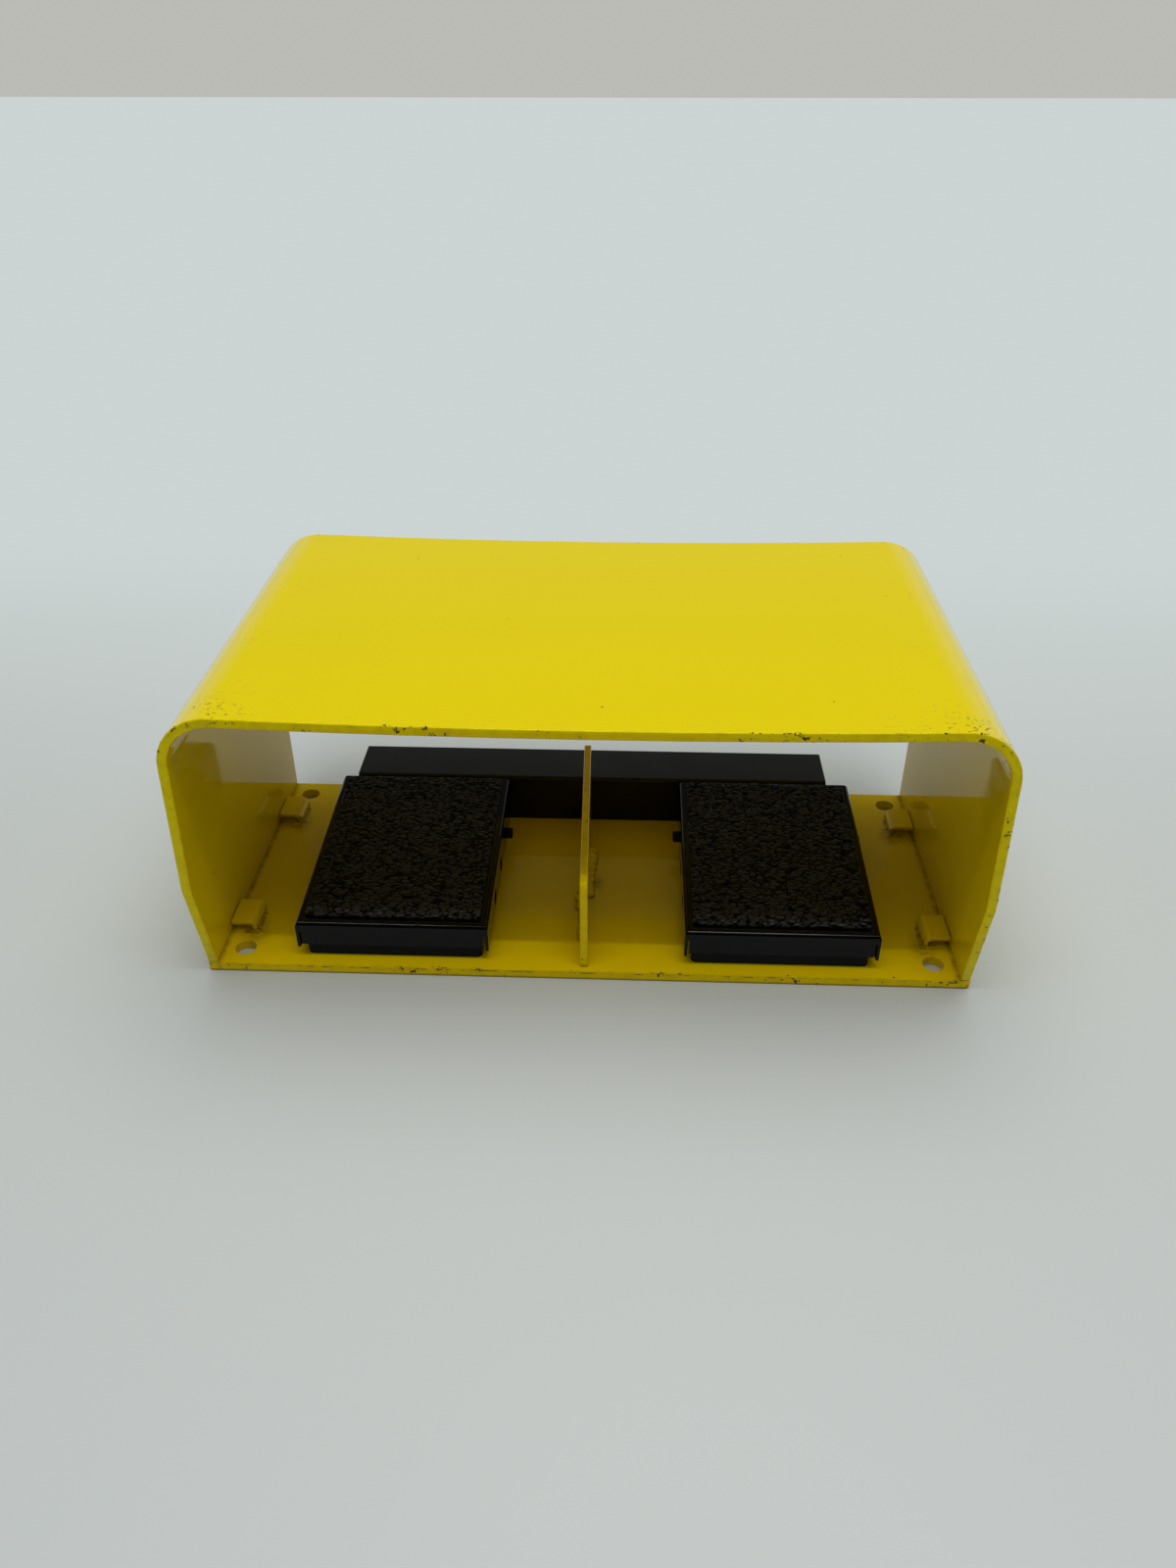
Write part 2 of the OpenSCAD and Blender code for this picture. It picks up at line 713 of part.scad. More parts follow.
module switch_bracket() {
  x0 = switch_size[0] / 2;
  d = switch_size[1];
  foot = 9;
  difference() {
    union() {
      translate([x0, button_y - d / 2, pan_floor]) cube([switch_bracket_t, d, switch_size[2] - 2]);
      translate([x0, button_y - d / 2, pan_floor]) cube([foot, d, switch_bracket_t]);
    }
    for (s = [-1, 1]) translate([0, button_y + s * switch_hole_dy, switch_hole_z])
      rod_x(switch_screw_d / 2 + fix_play, x0 - past, x0 + switch_bracket_t + past);
  }
}
module switch_bracket_left() { color("silver") place() at_pedal(-1) switch_bracket(); }
module switch_bracket_right() { color("silver") place() at_pedal(1) switch_bracket(); }

module switch_body() {
  w = switch_size[0];
  d = switch_size[1];
  bore = button_stem + button_travel + 0.3;
  difference() {
    translate([0, button_y, pan_floor]) union() {
      translate([-w / 2, -d / 2, 0]) cube([w, d, switch_size[2] - 0.8]);
      translate([-w / 2 + 0.5, -d / 2 + 0.5, 0]) cube([w - 1, d - 1, switch_size[2]]);
    }
    for (s = [-1, 1]) translate([0, button_y + s * switch_hole_dy, switch_hole_z])
      rod_x(switch_screw_d / 2 + fix_play, -w, w);
    translate([0, button_y, switch_top - bore]) cylinder(r = button_d / 2 + 0.05, h = bore + past);
  }
}
module switch_body_left() { color("saddlebrown") place() at_pedal(-1) switch_body(); }
module switch_body_right() { color("saddlebrown") place() at_pedal(1) switch_body(); }

switch_screw_past = 1;
module switch_screws() {
  length = switch_size[0] + switch_bracket_t + switch_screw_past;
  color("silver") place() for (p = [-1, 1], s = [-1, 1]) at_pedal(p)
    translate([-switch_size[0] / 2, button_y + s * switch_hole_dy, switch_hole_z]) rotate([0, -90, 0])
      pan_head_screw(switch_screw_d, length);
}

blade_w = 2.4;
blade_t = 0.5;
blade_pitch = 1.2;
module switch_terminals() {
  color("goldenrod") place() for (p = [-1, 1]) at_pedal(p) for (i = [-1:1])
    translate([-blade_w / 2, switch_rear, lead_z + i * blade_pitch - blade_t / 2])
      cube([blade_w, blade_len, blade_t]);
}

button_bevel = 0.4;
module switch_button() {
  r = button_d / 2;
  tall = button_stem + button_out;
  translate([0, button_y, switch_top - button_stem]) rotate_extrude() polygon([
    [0, 0], [r, 0], [r, tall - button_bevel], [r - button_bevel, tall], [0, tall]
  ]);
}
module switch_button_left() { color("firebrick") place() at_pedal(-1) switch_button(); }
module switch_button_right() { color("firebrick") place() at_pedal(1) switch_button(); }

// ---------- spring and stops ----------

module stop_buffers() {
  h = stop_top - pan_floor;
  r = stop_d / 2;
  bevel = 0.8;
  color("black") place() for (p = [-1, 1], x = [-stop_x, stop_x])
    translate([p * pedal_x + x, stop_y, pan_floor]) rotate_extrude()
      polygon([[0, 0], [r, 0], [r, h - bevel], [r - bevel, h], [0, h]]);
}

module spring_seats() {
  color("silver") place() for (p = [-1, 1]) translate([p * pedal_x, spring_y, pan_floor])
    cylinder(r = coil_d / 2 - wire_d - seat_play, h = seat_h);
}

// Open helical spring: a ring of wire_sides points at every step of the coil
wire_sides = 8;
coil_steps = 20;
module return_spring() {
  r = coil_d / 2 - wire_d / 2;
  wire_r = wire_d / 2;
  rings = ceil(coil_turns * coil_steps);
  rise = coil_top - coil_bottom - wire_d;
  points = [
    for (i = [0:rings], j = [0:wire_sides - 1])
      let (a = 360 * coil_turns * i / rings, b = 360 * j / wire_sides, q = r + wire_r * cos(b))
        [q * cos(a), q * sin(a), wire_r + rise * i / rings + wire_r * sin(b)]
  ];
  sides = [
    for (i = [0:rings - 1], j = [0:wire_sides - 1])
      let (k = (j + 1) % wire_sides, m = i * wire_sides, n = m + wire_sides)
        [m + j, m + k, n + k, n + j]
  ];
  ends = [
    [for (j = [wire_sides - 1:-1:0]) j],
    [for (j = [0:wire_sides - 1]) rings * wire_sides + j]
  ];
  translate([0, spring_y, coil_bottom]) polyhedron(points = points, faces = concat(sides, ends));
}
module return_spring_left() { color("lightgray") place() at_pedal(-1) return_spring(); }
module return_spring_right() { color("lightgray") place() at_pedal(1) return_spring(); }

// ---------- treadle ----------

// Frame of the sloping top: x across, y up the slope from the front edge, z = 0 on top
module on_slope() { translate([0, treadle_front, heel_z]) rotate([slope, 0, 0]) children(); }

// Side view of the treadle, inset by t from the top, front and rear
module treadle_side(t, bottom) {
  r = treadle_r - t;
  y0 = treadle_front + t;
  z0 = top_z(y0) - t / cos(slope);
  // Centre of the round that blends the lip into the sloping top
  cy = y0 + r;
  cz = z0 + r * tan(slope) - r / cos(slope);
  rear = treadle_rear + (t > 0 ? past : 0);
  rear_z = top_z(rear) - t / cos(slope);
  difference() {
    polygon([[y0, bottom], [y0, z0], [rear, rear_z], [rear, bottom]]);
    // Waste outside the round, cut off as far as the two tangent points
    difference() {
      polygon([
        [y0 - past, cz], [cy, cz], [cy - r * sin(slope), cz + r * cos(slope)],
        [cy - (r + past) * sin(slope), cz + (r + past) * cos(slope)], [y0 - past, z0 + past]
      ]);
      translate([cy, cz]) circle(r = r);
    }
  }
}

// Solid treadle form inset by t: round along the sides and along the lip
module treadle_form(t, bottom) {
  half = treadle_w / 2 - t;
  deep = 2 * toe_rise;
  intersection() {
    along_x(-half, half) treadle_side(t, bottom);
    on_slope() along_y(-deep, top_len + deep) arch(2 * half, -deep, -t, treadle_r - t);
  }
}

module treadle() {
  lip_half = treadle_w / 2 - treadle_t - relief_w;
  slit_depth = treadle_r + 1.4;
  wide = 2 * treadle_w;
  difference() {
    treadle_form(0, flange_z);
    treadle_form(treadle_t, flange_z - past);
    // The lip ends higher than the flanges
    translate([-lip_half, treadle_front - past, 0]) cube([2 * lip_half, treadle_t + 2 * past, lip_z]);
    // Relief slits between lip and flanges
    for (s = [-1, 1]) translate([s * (lip_half + relief_w / 2) - relief_w / 2, treadle_front - past, 0])
      cube([relief_w, slit_depth + past, relief_top]);
    translate([0, pin_y, pin_z]) rod_x(pin_d / 2 + pivot_play, -wide, wide);
    for (i = [1, 2]) translate([0, pin_y - i * hole_pitch, pin_z]) rod_x(spare_d / 2, -wide, wide);
  }
}
module treadle_left() { color("dimgray") place() at_pedal(-1) treadle(); }
module treadle_right() { color("dimgray") place() at_pedal(1) treadle(); }

module tread_pad() {
  w = treadle_w - 2 * pad_side;
  d = top_len - pad_front - pad_rear;
  on_slope() translate([-w / 2, pad_front, 0]) linear_extrude(pad_t) rounded_rect(w, d, pad_r);
}
module tread_pad_left() { color("black") place() at_pedal(-1) tread_pad(); }
module tread_pad_right() { color("black") place() at_pedal(1) tread_pad(); }

// Stud welded under the treadle that pushes the switch's button
module striker() {
  tall = 30;
  intersection() {
    translate([0, button_y, striker_tip]) union() {
      translate([0, 0, striker_r]) sphere(r = striker_r);
      translate([0, 0, striker_r]) cylinder(r = striker_r, h = tall);
    }
    on_slope() translate([-tall, 0, -treadle_t - tall]) cube([2 * tall, top_len, tall]);
  }
}
module striker_left() { color("silver") place() at_pedal(-1) striker(); }
module striker_right() { color("silver") place() at_pedal(1) striker(); }

base_plate();
guard_hood();
centre_divider();
strap_clips();
weld_beads();
wiring_box();
box_brackets();
box_screws();
gland_body();
gland_cap();
gland_locknut();
gland_seal();
terminal_block();
terminal_screws();
ground_screw();
lead_left();
lead_right();
lead_grommets();
pan_left();
pan_right();
pan_screws();
pivot_pin_left();
pivot_pin_right();
pivot_clips();
switch_bracket_left();
switch_bracket_right();
switch_body_left();
switch_body_right();
switch_screws();
switch_terminals();
switch_button_left();
switch_button_right();
stop_buffers();
spring_seats();
return_spring_left();
return_spring_right();
treadle_left();
treadle_right();
tread_pad_left();
tread_pad_right();
striker_left();
striker_right();
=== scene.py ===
# %% [markdown]
# # A guarded twin foot switch
# Two black treadles sit side by side under a bent steel hood. The hood, its base plate and
# the bar between the treadles are painted with glossy yellow enamel, and a black wiring box
# closes the rear. The construction is loaded first. It fixes every size and place, and the
# cells below only dress it. All lengths are in metres.

# %% Load the frame
import json
import math

import bmesh
import bpy
from mathutils import Matrix, Vector
from mathutils import noise


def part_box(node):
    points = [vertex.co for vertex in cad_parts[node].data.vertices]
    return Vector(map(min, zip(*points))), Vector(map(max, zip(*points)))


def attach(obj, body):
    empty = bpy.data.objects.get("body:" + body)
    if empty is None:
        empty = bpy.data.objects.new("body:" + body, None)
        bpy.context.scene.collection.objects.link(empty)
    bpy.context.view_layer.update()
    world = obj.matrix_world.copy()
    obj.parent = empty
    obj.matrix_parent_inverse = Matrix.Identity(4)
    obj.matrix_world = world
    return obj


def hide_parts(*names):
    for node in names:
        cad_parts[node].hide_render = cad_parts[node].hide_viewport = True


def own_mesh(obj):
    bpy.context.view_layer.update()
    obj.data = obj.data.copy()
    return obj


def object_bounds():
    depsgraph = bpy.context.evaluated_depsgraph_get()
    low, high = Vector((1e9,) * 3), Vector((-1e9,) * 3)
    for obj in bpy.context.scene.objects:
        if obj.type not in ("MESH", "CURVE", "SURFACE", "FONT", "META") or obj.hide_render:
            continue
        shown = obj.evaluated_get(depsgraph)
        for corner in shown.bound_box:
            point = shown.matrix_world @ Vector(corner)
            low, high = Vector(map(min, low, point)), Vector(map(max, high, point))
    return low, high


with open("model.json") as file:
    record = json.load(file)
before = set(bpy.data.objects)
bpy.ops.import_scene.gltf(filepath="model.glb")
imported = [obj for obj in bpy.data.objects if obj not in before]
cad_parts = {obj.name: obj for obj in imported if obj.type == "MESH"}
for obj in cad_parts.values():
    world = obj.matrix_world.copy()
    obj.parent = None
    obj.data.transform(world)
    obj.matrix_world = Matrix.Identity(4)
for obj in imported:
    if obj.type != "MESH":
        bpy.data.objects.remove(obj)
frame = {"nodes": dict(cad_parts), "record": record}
cad_low, cad_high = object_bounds()
MM = 0.001
SIDES = ("left", "right")

# %% [markdown]
# ## Camera
# A wide lens close to the object makes the hood's front wider than its rear. The camera
# stands in front, a little over three hand widths up, and looks down at the treadles. It has
# no shift and no depth of field, so that the same camera also serves the other views.

# %% Camera
def put(thing):
    """Puts an object in the scene."""
    bpy.context.scene.collection.objects.link(thing)
    return thing


camera_data = bpy.data.cameras.new("camera")
camera_data.lens = 27.0
camera_data.sensor_width = 36.0
camera = put(bpy.data.objects.new("camera", camera_data))
camera_right = Vector((0.99930, 0.03739, -0.00074)).normalized()
camera_forward = Vector((-0.03171, 0.83672, -0.54672)).normalized()
camera_up = camera_right.cross(camera_forward)
camera.matrix_world = Matrix((camera_right, camera_up, -camera_forward)).transposed().to_4x4()
camera.location = (0.01434, -0.43049, 0.32254)
bpy.context.scene.camera = camera
print("lens", camera_data.lens, "mm")

# %% [markdown]
# ## Writing materials
# Every finish below is a small network of shader nodes. Patterns are laid out on object
# coordinates, which are the same metres as the geometry, so a scale of 500 gives grains of
# about two millimetres. A few helpers keep each network readable. One adds a node and fills
# in its sockets, and the others stand for the nodes that come up again and again.

# %% Node helpers
NODE_SORT = {"SHADER": "ShaderNode", "GEOMETRY": "GeometryNode"}


def fill_in(tree, node, sockets):
    """Fills in a node's sockets: a socket is linked, a plain value is set."""
    for key, value in sockets.items():
        if isinstance(value, bpy.types.NodeSocket):
            tree.links.new(value, node.inputs[key])
        else:
            node.inputs[key].default_value = value


def add(tree, kind, sockets=None, **settings):
    """Adds a node of the tree's own sort, with its settings and its sockets."""
    made = tree.nodes.new(NODE_SORT[tree.type] + kind)
    for key, value in settings.items():
        setattr(made, key, value)
    fill_in(tree, made, sockets or {})
    return made


def shader(name):
    """New node material, its tree and its main shader."""
    made = bpy.data.materials.new(name)
    made.use_nodes = True
    return made, made.node_tree, made.node_tree.nodes["Principled BSDF"]


def calc(tree, operation, first, *others):
    """Math nodes in a row, from the first value through each of the others."""
    for other in others or (0.0,):
        first = add(tree, "Math", {0: first, 1: other}, operation=operation).outputs[0]
    return first


print("node sorts:", list(NODE_SORT.values()))

# %% [markdown]
# Patterns need a few more helpers: soft and straight steps, object coordinates, noise, a
# blend of two colours, and a bump.

# %% Pattern helpers
def fade(tree, value, start, end, low=1.0, high=0.0):
    """Smooth step from low at start to high at end."""
    return add(tree, "MapRange", {"Value": value, "From Min": start, "From Max": end,
                                  "To Min": low, "To Max": high},
               interpolation_type="SMOOTHSTEP").outputs[0]


def rise(tree, value, start, end, top=1.0):
    """Smooth step from nought at start to top at end."""
    return fade(tree, value, start, end, 0.0, top)


def ramp(tree, value, start, end, low, high):
    """Straight step from low at start to high at end."""
    return add(tree, "MapRange", {"Value": value, "From Min": start, "From Max": end,
                                  "To Min": low, "To Max": high}).outputs[0]


def place(tree, stretch=(1, 1, 1)):
    """Object coordinates, stretched along the axes."""
    coords = add(tree, "TexCoord").outputs["Object"]
    return add(tree, "Mapping", {"Vector": coords, "Scale": stretch}).outputs[0]


def grain(tree, where, scale, detail=3.0, roughness=0.55):
    """Fractal noise from 0 to 1."""
    return add(tree, "TexNoise", {"Vector": where, "Scale": scale, "Detail": detail,
                                  "Roughness": roughness}).outputs["Fac"]


def blend_colour(tree, amount, a, b):
    """Colour a where amount is 0, b where it is 1."""
    return add(tree, "Mix", {0: amount, 6: a, 7: b}, data_type="RGBA").outputs[2]


def bump(tree, height, distance, strength=1.0, before=None):
    """Bump of a height pattern whose full swing is distance, on top of one before it."""
    sockets = {"Height": height, "Distance": distance, "Strength": strength}
    if before is not None:
        sockets["Normal"] = before
    return add(tree, "Bump", sockets).outputs[0]


PATTERN_HELPERS = (fade, rise, ramp, place, grain, blend_colour, bump)
print("pattern helpers:", [f.__name__ for f in PATTERN_HELPERS])

# %% [markdown]
# ## Floor
# The switch stands on a plain pale table that reaches far beyond it. Close to the switch the
# table is lit like everything else. Farther away it shows one pale tone however little light
# gets there, and this holds only for the camera and for mirror rays, so it adds no light.
# The patch under the switch is left out, because it shows through the mounting holes.

# %% Floor
FLOOR_REACH = 6.0
FLOOR_GAP = 0.2 * MM
TABLE_TONE = (0.53, 0.56, 0.555, 1)
TABLE_GLOW = (0.60, 0.66, 0.65, 1)
GLOW_AROUND = (0.40, 1.10)
GLOW_BEHIND = (-0.05, 0.40)

floor_corners = [(x * FLOOR_REACH, y * FLOOR_REACH, 0)
                 for x, y in ((-1, -1), (1, -1), (1, 1), (-1, 1))]
floor_mesh = bpy.data.meshes.new("table_top")
floor_mesh.from_pydata(floor_corners, [], [(0, 1, 2, 3)])
table_top = put(bpy.data.objects.new("table_top", floor_mesh))
table_top.location.z = cad_low.z - FLOOR_GAP
print("floor at z =", round(table_top.location.z, 5))

# %% Table finish
table_finish, table_tree, table_paint = shader("pale_table")
fill_in(table_tree, table_paint, {"Base Color": TABLE_TONE, "Roughness": 0.5})
table_spot = add(table_tree, "TexCoord").outputs["Object"]
table_axes = add(table_tree, "SeparateXYZ", {0: table_spot}).outputs
away = add(table_tree, "VectorMath", {0: table_spot}, operation="LENGTH").outputs["Value"]
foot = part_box("base_plate")[1]
beside = calc(table_tree, "ABSOLUTE", table_axes["X"])
past_plate = calc(table_tree, "MAXIMUM", calc(table_tree, "GREATER_THAN", beside, foot.x),
                  calc(table_tree, "GREATER_THAN", table_axes["Y"], foot.y))
far = calc(table_tree, "MAXIMUM", rise(table_tree, away, *GLOW_AROUND),
           rise(table_tree, table_axes["Y"], *GLOW_BEHIND))
table_rays = add(table_tree, "LightPath").outputs
seen = calc(table_tree, "MAXIMUM", table_rays["Is Camera Ray"], table_rays["Is Glossy Ray"])
glow = add(table_tree, "Emission", {"Color": TABLE_GLOW, "Strength": 1.0})
table_mix = add(table_tree, "MixShader", {0: calc(table_tree, "MULTIPLY", far, past_plate, seen),
                                          1: table_paint.outputs[0], 2: glow.outputs[0]})
fill_in(table_tree, table_tree.nodes["Material Output"], {0: table_mix.outputs[0]})
floor_mesh.materials.append(table_finish)
print("table finish:", len(table_tree.nodes), "nodes")

# %% [markdown]
# ## Room and lamps
# One wide soft panel overhead does most of the work. A long tube just in front of it throws
# the hood's shadow over the treadles and draws thin bright lines along the bends. The
# pale room fills the rest. Mirror rays see a room that is bright behind the switch and
# darker in front of it and overhead, and the camera sees a plain pale wall.

# %% Room
PALE = (0.60, 0.62, 0.59, 1)
WALL = (0.49, 0.50, 0.46, 1)
AMBIENT = 0.52
MIRROR_FRONT, MIRROR_BACK, MIRROR_TOP = 0.16, 0.85, 0.22

world = bpy.data.worlds.new("pale_room")
bpy.context.scene.world = world
world.use_nodes = True
room = world.node_tree
room.nodes.clear()
facing = add(room, "SeparateXYZ", {0: add(room, "TexCoord").outputs["Generated"]}).outputs
mirror_tone = calc(room, "MULTIPLY",
                   fade(room, facing["Y"], -0.75, 0.15, MIRROR_FRONT, MIRROR_BACK),
                   fade(room, facing["Z"], 0.12, 0.50, 1.0, MIRROR_TOP))
fill, mirrored, wall = (
    add(room, "Background", {"Color": colour, "Strength": strength}).outputs[0]
    for colour, strength in ((PALE, AMBIENT), (PALE, mirror_tone), (WALL, 1.0)))
room_rays = add(room, "LightPath").outputs
bent_ray = calc(room, "MAXIMUM", room_rays["Is Glossy Ray"], room_rays["Is Transmission Ray"])
bounced = add(room, "MixShader", {0: bent_ray, 1: fill, 2: mirrored}).outputs[0]
shown = add(room, "MixShader", {0: room_rays["Is Camera Ray"], 1: bounced, 2: wall}).outputs[0]
add(room, "OutputWorld", {0: shown})
print("room:", len(room.nodes), "nodes")


# %% Lamps
def lamp(name, width, depth, power, stand, target):
    """Rectangular area lamp that faces a target, with its width along X."""
    data = bpy.data.lights.new(name, "AREA")
    data.shape = "RECTANGLE"
    data.size = width
    data.size_y = depth
    data.energy = power
    made = put(bpy.data.objects.new(name, data))
    made.location = stand
    made.rotation_mode = "QUATERNION"
    made.rotation_quaternion = (Vector(target) - Vector(stand)).to_track_quat("-Z", "Y")


object_middle = (0, 0, 0.06)
lamp("ceiling_panel", 1.5, 1.5, 16.4, (0.1, 0.15, 1.5), object_middle)
lamp("front_tube", 1.5, 0.03, 4.6, (0.0, -0.385, 1.6), object_middle)
bpy.context.scene.view_settings.view_transform = "Standard"

# %% [markdown]
# ## Yellow enamel
# The guard is dipped or sprayed in thick glossy enamel over a dark primer. The gloss is
# crisp enough to mirror the wiring box in the base plate, with a faint orange peel. Paint
# thins at sheared edges, so it chips there first and shows the primer and a little rust. A
# few pinholes dot the broad faces, and boots leave clumps of fine scuffs.

# %% Marks in the paint
CHIP_SHARE = 0.07
CHIP_LIMITS = (0.745, 0.775)
PINHOLE_R = 0.056
PINHOLE_SHARE = 0.10


def chips_at(tree, where, edge, amount):
    """Ragged chips: a fine noise passes its threshold only close to an edge."""
    ragged = grain(tree, where, 420, 4, 0.65)
    patches = grain(tree, where, 38, 2)
    close = calc(tree, "MULTIPLY", fade(tree, edge, 0.0, 2.2 * MM), CHIP_SHARE * amount)
    uneven = calc(tree, "MULTIPLY", calc(tree, "SUBTRACT", patches, 0.5), 0.55)
    chip = rise(tree, calc(tree, "ADD", ragged, calc(tree, "ADD", close, uneven)), *CHIP_LIMITS)
    return calc(tree, "MULTIPLY", chip, fade(tree, edge, 1.2 * MM, 3.0 * MM))


def pinholes(tree, where, amount):
    """Tiny specks in the middle of a few cells of a coarse pattern."""
    cells = add(tree, "TexVoronoi", {"Vector": where, "Scale": 90.0})
    wobble = calc(tree, "MULTIPLY", grain(tree, where, 900, 2), 0.045)
    reach = calc(tree, "ADD", cells.outputs["Distance"], wobble)
    lot = add(tree, "SeparateColor", {0: cells.outputs["Color"]}).outputs[0]
    rare = calc(tree, "GREATER_THAN", lot, 1 - PINHOLE_SHARE * amount)
    return calc(tree, "MULTIPLY", calc(tree, "LESS_THAN", reach, PINHOLE_R), rare)


def scuffs(tree, where, rubbed):
    """Fine dots in clumps, where the paint is rubbed."""
    dots = rise(tree, grain(tree, where, 620, 3, 0.7), 0.60, 0.62)
    clumps = rise(tree, grain(tree, where, 60, 3), 0.47, 0.56)
    return calc(tree, "MULTIPLY", dots, clumps, rubbed)


print("marks:", [f.__name__ for f in (chips_at, pinholes, scuffs)])

# %% [markdown]
# The coat is one recipe for every yellow piece. What differs is where it is worn and where it
# gets a painted shade, and each piece says that with its own rules. A rule takes the tree and
# the three coordinates. The edge and corner rules give a distance in metres, and the others
# give a share from 0 to 1.

# %% Enamel
ENAMEL = (0.735, 0.587, 0.0008, 1)
# A warmer, darker painted shade of the enamel, for faces in the guard's shade
ENAMEL_SHADED = (0.735, 0.520, 0.0008, 1)
ENAMEL_WORN = (0.50, 0.36, 0.002, 1)
PRIMER = (0.030, 0.018, 0.010, 1)
RUST = (0.085, 0.030, 0.010, 1)
STAIN = (0.13, 0.062, 0.006, 1)
MIRROR_TINT = (1.0, 0.86, 0.05, 1)


def enamel(name, edge_rule, corner_rule, shade_rule, scuff_rule=None, line_rule=None,
           chips=1.0, specks=1.0, stains=1.0):
    """Glossy yellow enamel, worn, stained and given a painted shade where the piece's own rules
    say.
    """
    made, tree, paint = shader(name)
    where = place(tree)
    axes = add(tree, "SeparateXYZ", {0: where}).outputs
    spot = (tree, axes[0], axes[1], axes[2])
    edge = edge_rule(*spot)
    damage_and_shade = calc(tree, "MAXIMUM", chips_at(tree, where, edge, chips),
                  pinholes(tree, where, specks))
    # The plate's line rule adds a painted shade along its bottom arris to the damage
    if line_rule:
        damage_and_shade = calc(tree, "MAXIMUM", damage_and_shade, line_rule(*spot))
    if scuff_rule:
        damage_and_shade = calc(tree, "MAXIMUM", damage_and_shade, scuffs(tree, where, scuff_rule(*spot)))
    # Painted shade inside, soft unevenness, then a worn rim beside the edges
    coat = blend_colour(tree, shade_rule(*spot), ENAMEL, ENAMEL_SHADED)
    clouds = rise(tree, grain(tree, where, 9, 3), 0.30, 0.75, 0.04)
    coat = blend_colour(tree, clouds, coat, ENAMEL_WORN)
    streaks = grain(tree, place(tree, (1, 3.0, 1)), 160, 5, 0.7)
    rim = calc(tree, "MULTIPLY", fade(tree, edge, 0.2 * MM, 1.6 * MM),
               rise(tree, streaks, 0.42, 0.62, 0.35))
    coat = blend_colour(tree, rim, coat, ENAMEL_WORN)
    # Dirt gathers in the corners
    dirt = calc(tree, "MULTIPLY", fade(tree, corner_rule(*spot), 0.2 * MM, 2.4 * MM),
                fade(tree, streaks, 0.30, 0.66, 0.12, 0.60 * stains))
    coat = blend_colour(tree, dirt, coat, STAIN)
    bare = blend_colour(tree, grain(tree, where, 700, 2), PRIMER, RUST)
    gloss = fade(tree, grain(tree, where, 60, 3), 0.3, 0.7, 0.035, 0.08)
    peel = bump(tree, grain(tree, where, 130, 2, 0.4), 0.04 * MM, 0.5)
    fill_in(tree, paint, {
        "Base Color": blend_colour(tree, damage_and_shade, coat, bare),
        "Roughness": ramp(tree, damage_and_shade, 0.0, 1.0, gloss, 0.75),
        "Normal": bump(tree, calc(tree, "SUBTRACT", 1.0, damage_and_shade), 0.12 * MM, 1.0, peel),
        "IOR": 1.52, "Specular Tint": MIRROR_TINT})
    return made


print("enamel tones:", [ENAMEL[:3], ENAMEL_SHADED[:3]])

# %% [markdown]
# ## Wear on the base plate
# The chips need to know how far a point is from the nearest sheared edge. The outlines are
# straight runs, so that distance is worked out in the material from the coordinates. The
# plate's front arris shows a thin broken line, and its foot gets a painted shade. Stains
# spread from the clips and from the welds beside the divider.

# %% Base plate rules
SHEET = 3.8 * MM
CLIP_IN = 10.5 * MM
CLIP_LENGTH = 15 * MM
BAR_STAINS = (((2 * MM, -22 * MM), 7 * MM), ((-4 * MM, -38 * MM), 5 * MM))

plate_low, plate_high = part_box("base_plate")
plate_middle = (plate_low + plate_high) / 2
plate_half = plate_high - plate_middle
hood_low, hood_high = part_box("guard_hood")
clip_low, clip_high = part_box("strap_clips")
clip_inner = clip_high.x - CLIP_IN
clip_stains = (((clip_inner, clip_low.y), 10 * MM),
               ((clip_inner, clip_high.y - CLIP_LENGTH), 8 * MM))


def metres_to(tree, value, line):
    """Distance of a coordinate from a fixed line."""
    return calc(tree, "ABSOLUTE", calc(tree, "SUBTRACT", value, line))


def plate_edge(tree, x, y, z):
    """Distance inside the plate's outline."""
    across = calc(tree, "SUBTRACT", plate_high.x, calc(tree, "ABSOLUTE", x))
    along = calc(tree, "SUBTRACT", plate_half.y, metres_to(tree, y, plate_middle.y))
    return calc(tree, "MINIMUM", across, along)


def plate_line(tree, x, y, z):
    """A thin broken line just under the top front arris, and a painted shade along the bottom
    arris.
    """
    broken = rise(tree, grain(tree, place(tree), 240, 3, 0.6), 0.50, 0.60, 0.9)
    height = fade(tree, metres_to(tree, z, plate_high.z - 0.95 * MM), 0.10 * MM, 0.34 * MM)
    # Painted shade: the bottom arris is darkened towards primer and rust
    bottom_shade = fade(tree, z, plate_low.z + 0.4 * MM, plate_low.z + 1.0 * MM, 0.55, 0.0)
    line = calc(tree, "MAXIMUM", calc(tree, "MULTIPLY", height, broken), bottom_shade)
    return calc(tree, "MULTIPLY", line, calc(tree, "LESS_THAN", y, plate_low.y + 0.5 * MM))


def from_spot(tree, x, y, centre, spread):
    """Distance from a spot on the plate, scaled so that its stain fades over spread metres."""
    across = calc(tree, "POWER", metres_to(tree, x, centre[0]), 2.0)
    along = calc(tree, "POWER", calc(tree, "MULTIPLY", metres_to(tree, y, centre[1]), 0.6), 2.0)
    distance = calc(tree, "POWER", calc(tree, "ADD", across, along), 0.5)
    return calc(tree, "MULTIPLY", distance, 3 * MM / spread)


def plate_corner(tree, x, y, z):
    """Distance on the plate from the inside of the cheeks, the clips and the divider's welds."""
    aside = calc(tree, "ABSOLUTE", x)
    spots = [from_spot(tree, aside, y, *stain) for stain in clip_stains]
    spots += [from_spot(tree, x, y, *stain) for stain in BAR_STAINS]
    return calc(tree, "MINIMUM", metres_to(tree, aside, hood_high.x - SHEET), *spots)


print("plate spans", [round(v / MM, 1) for v in plate_high - plate_low], "mm")

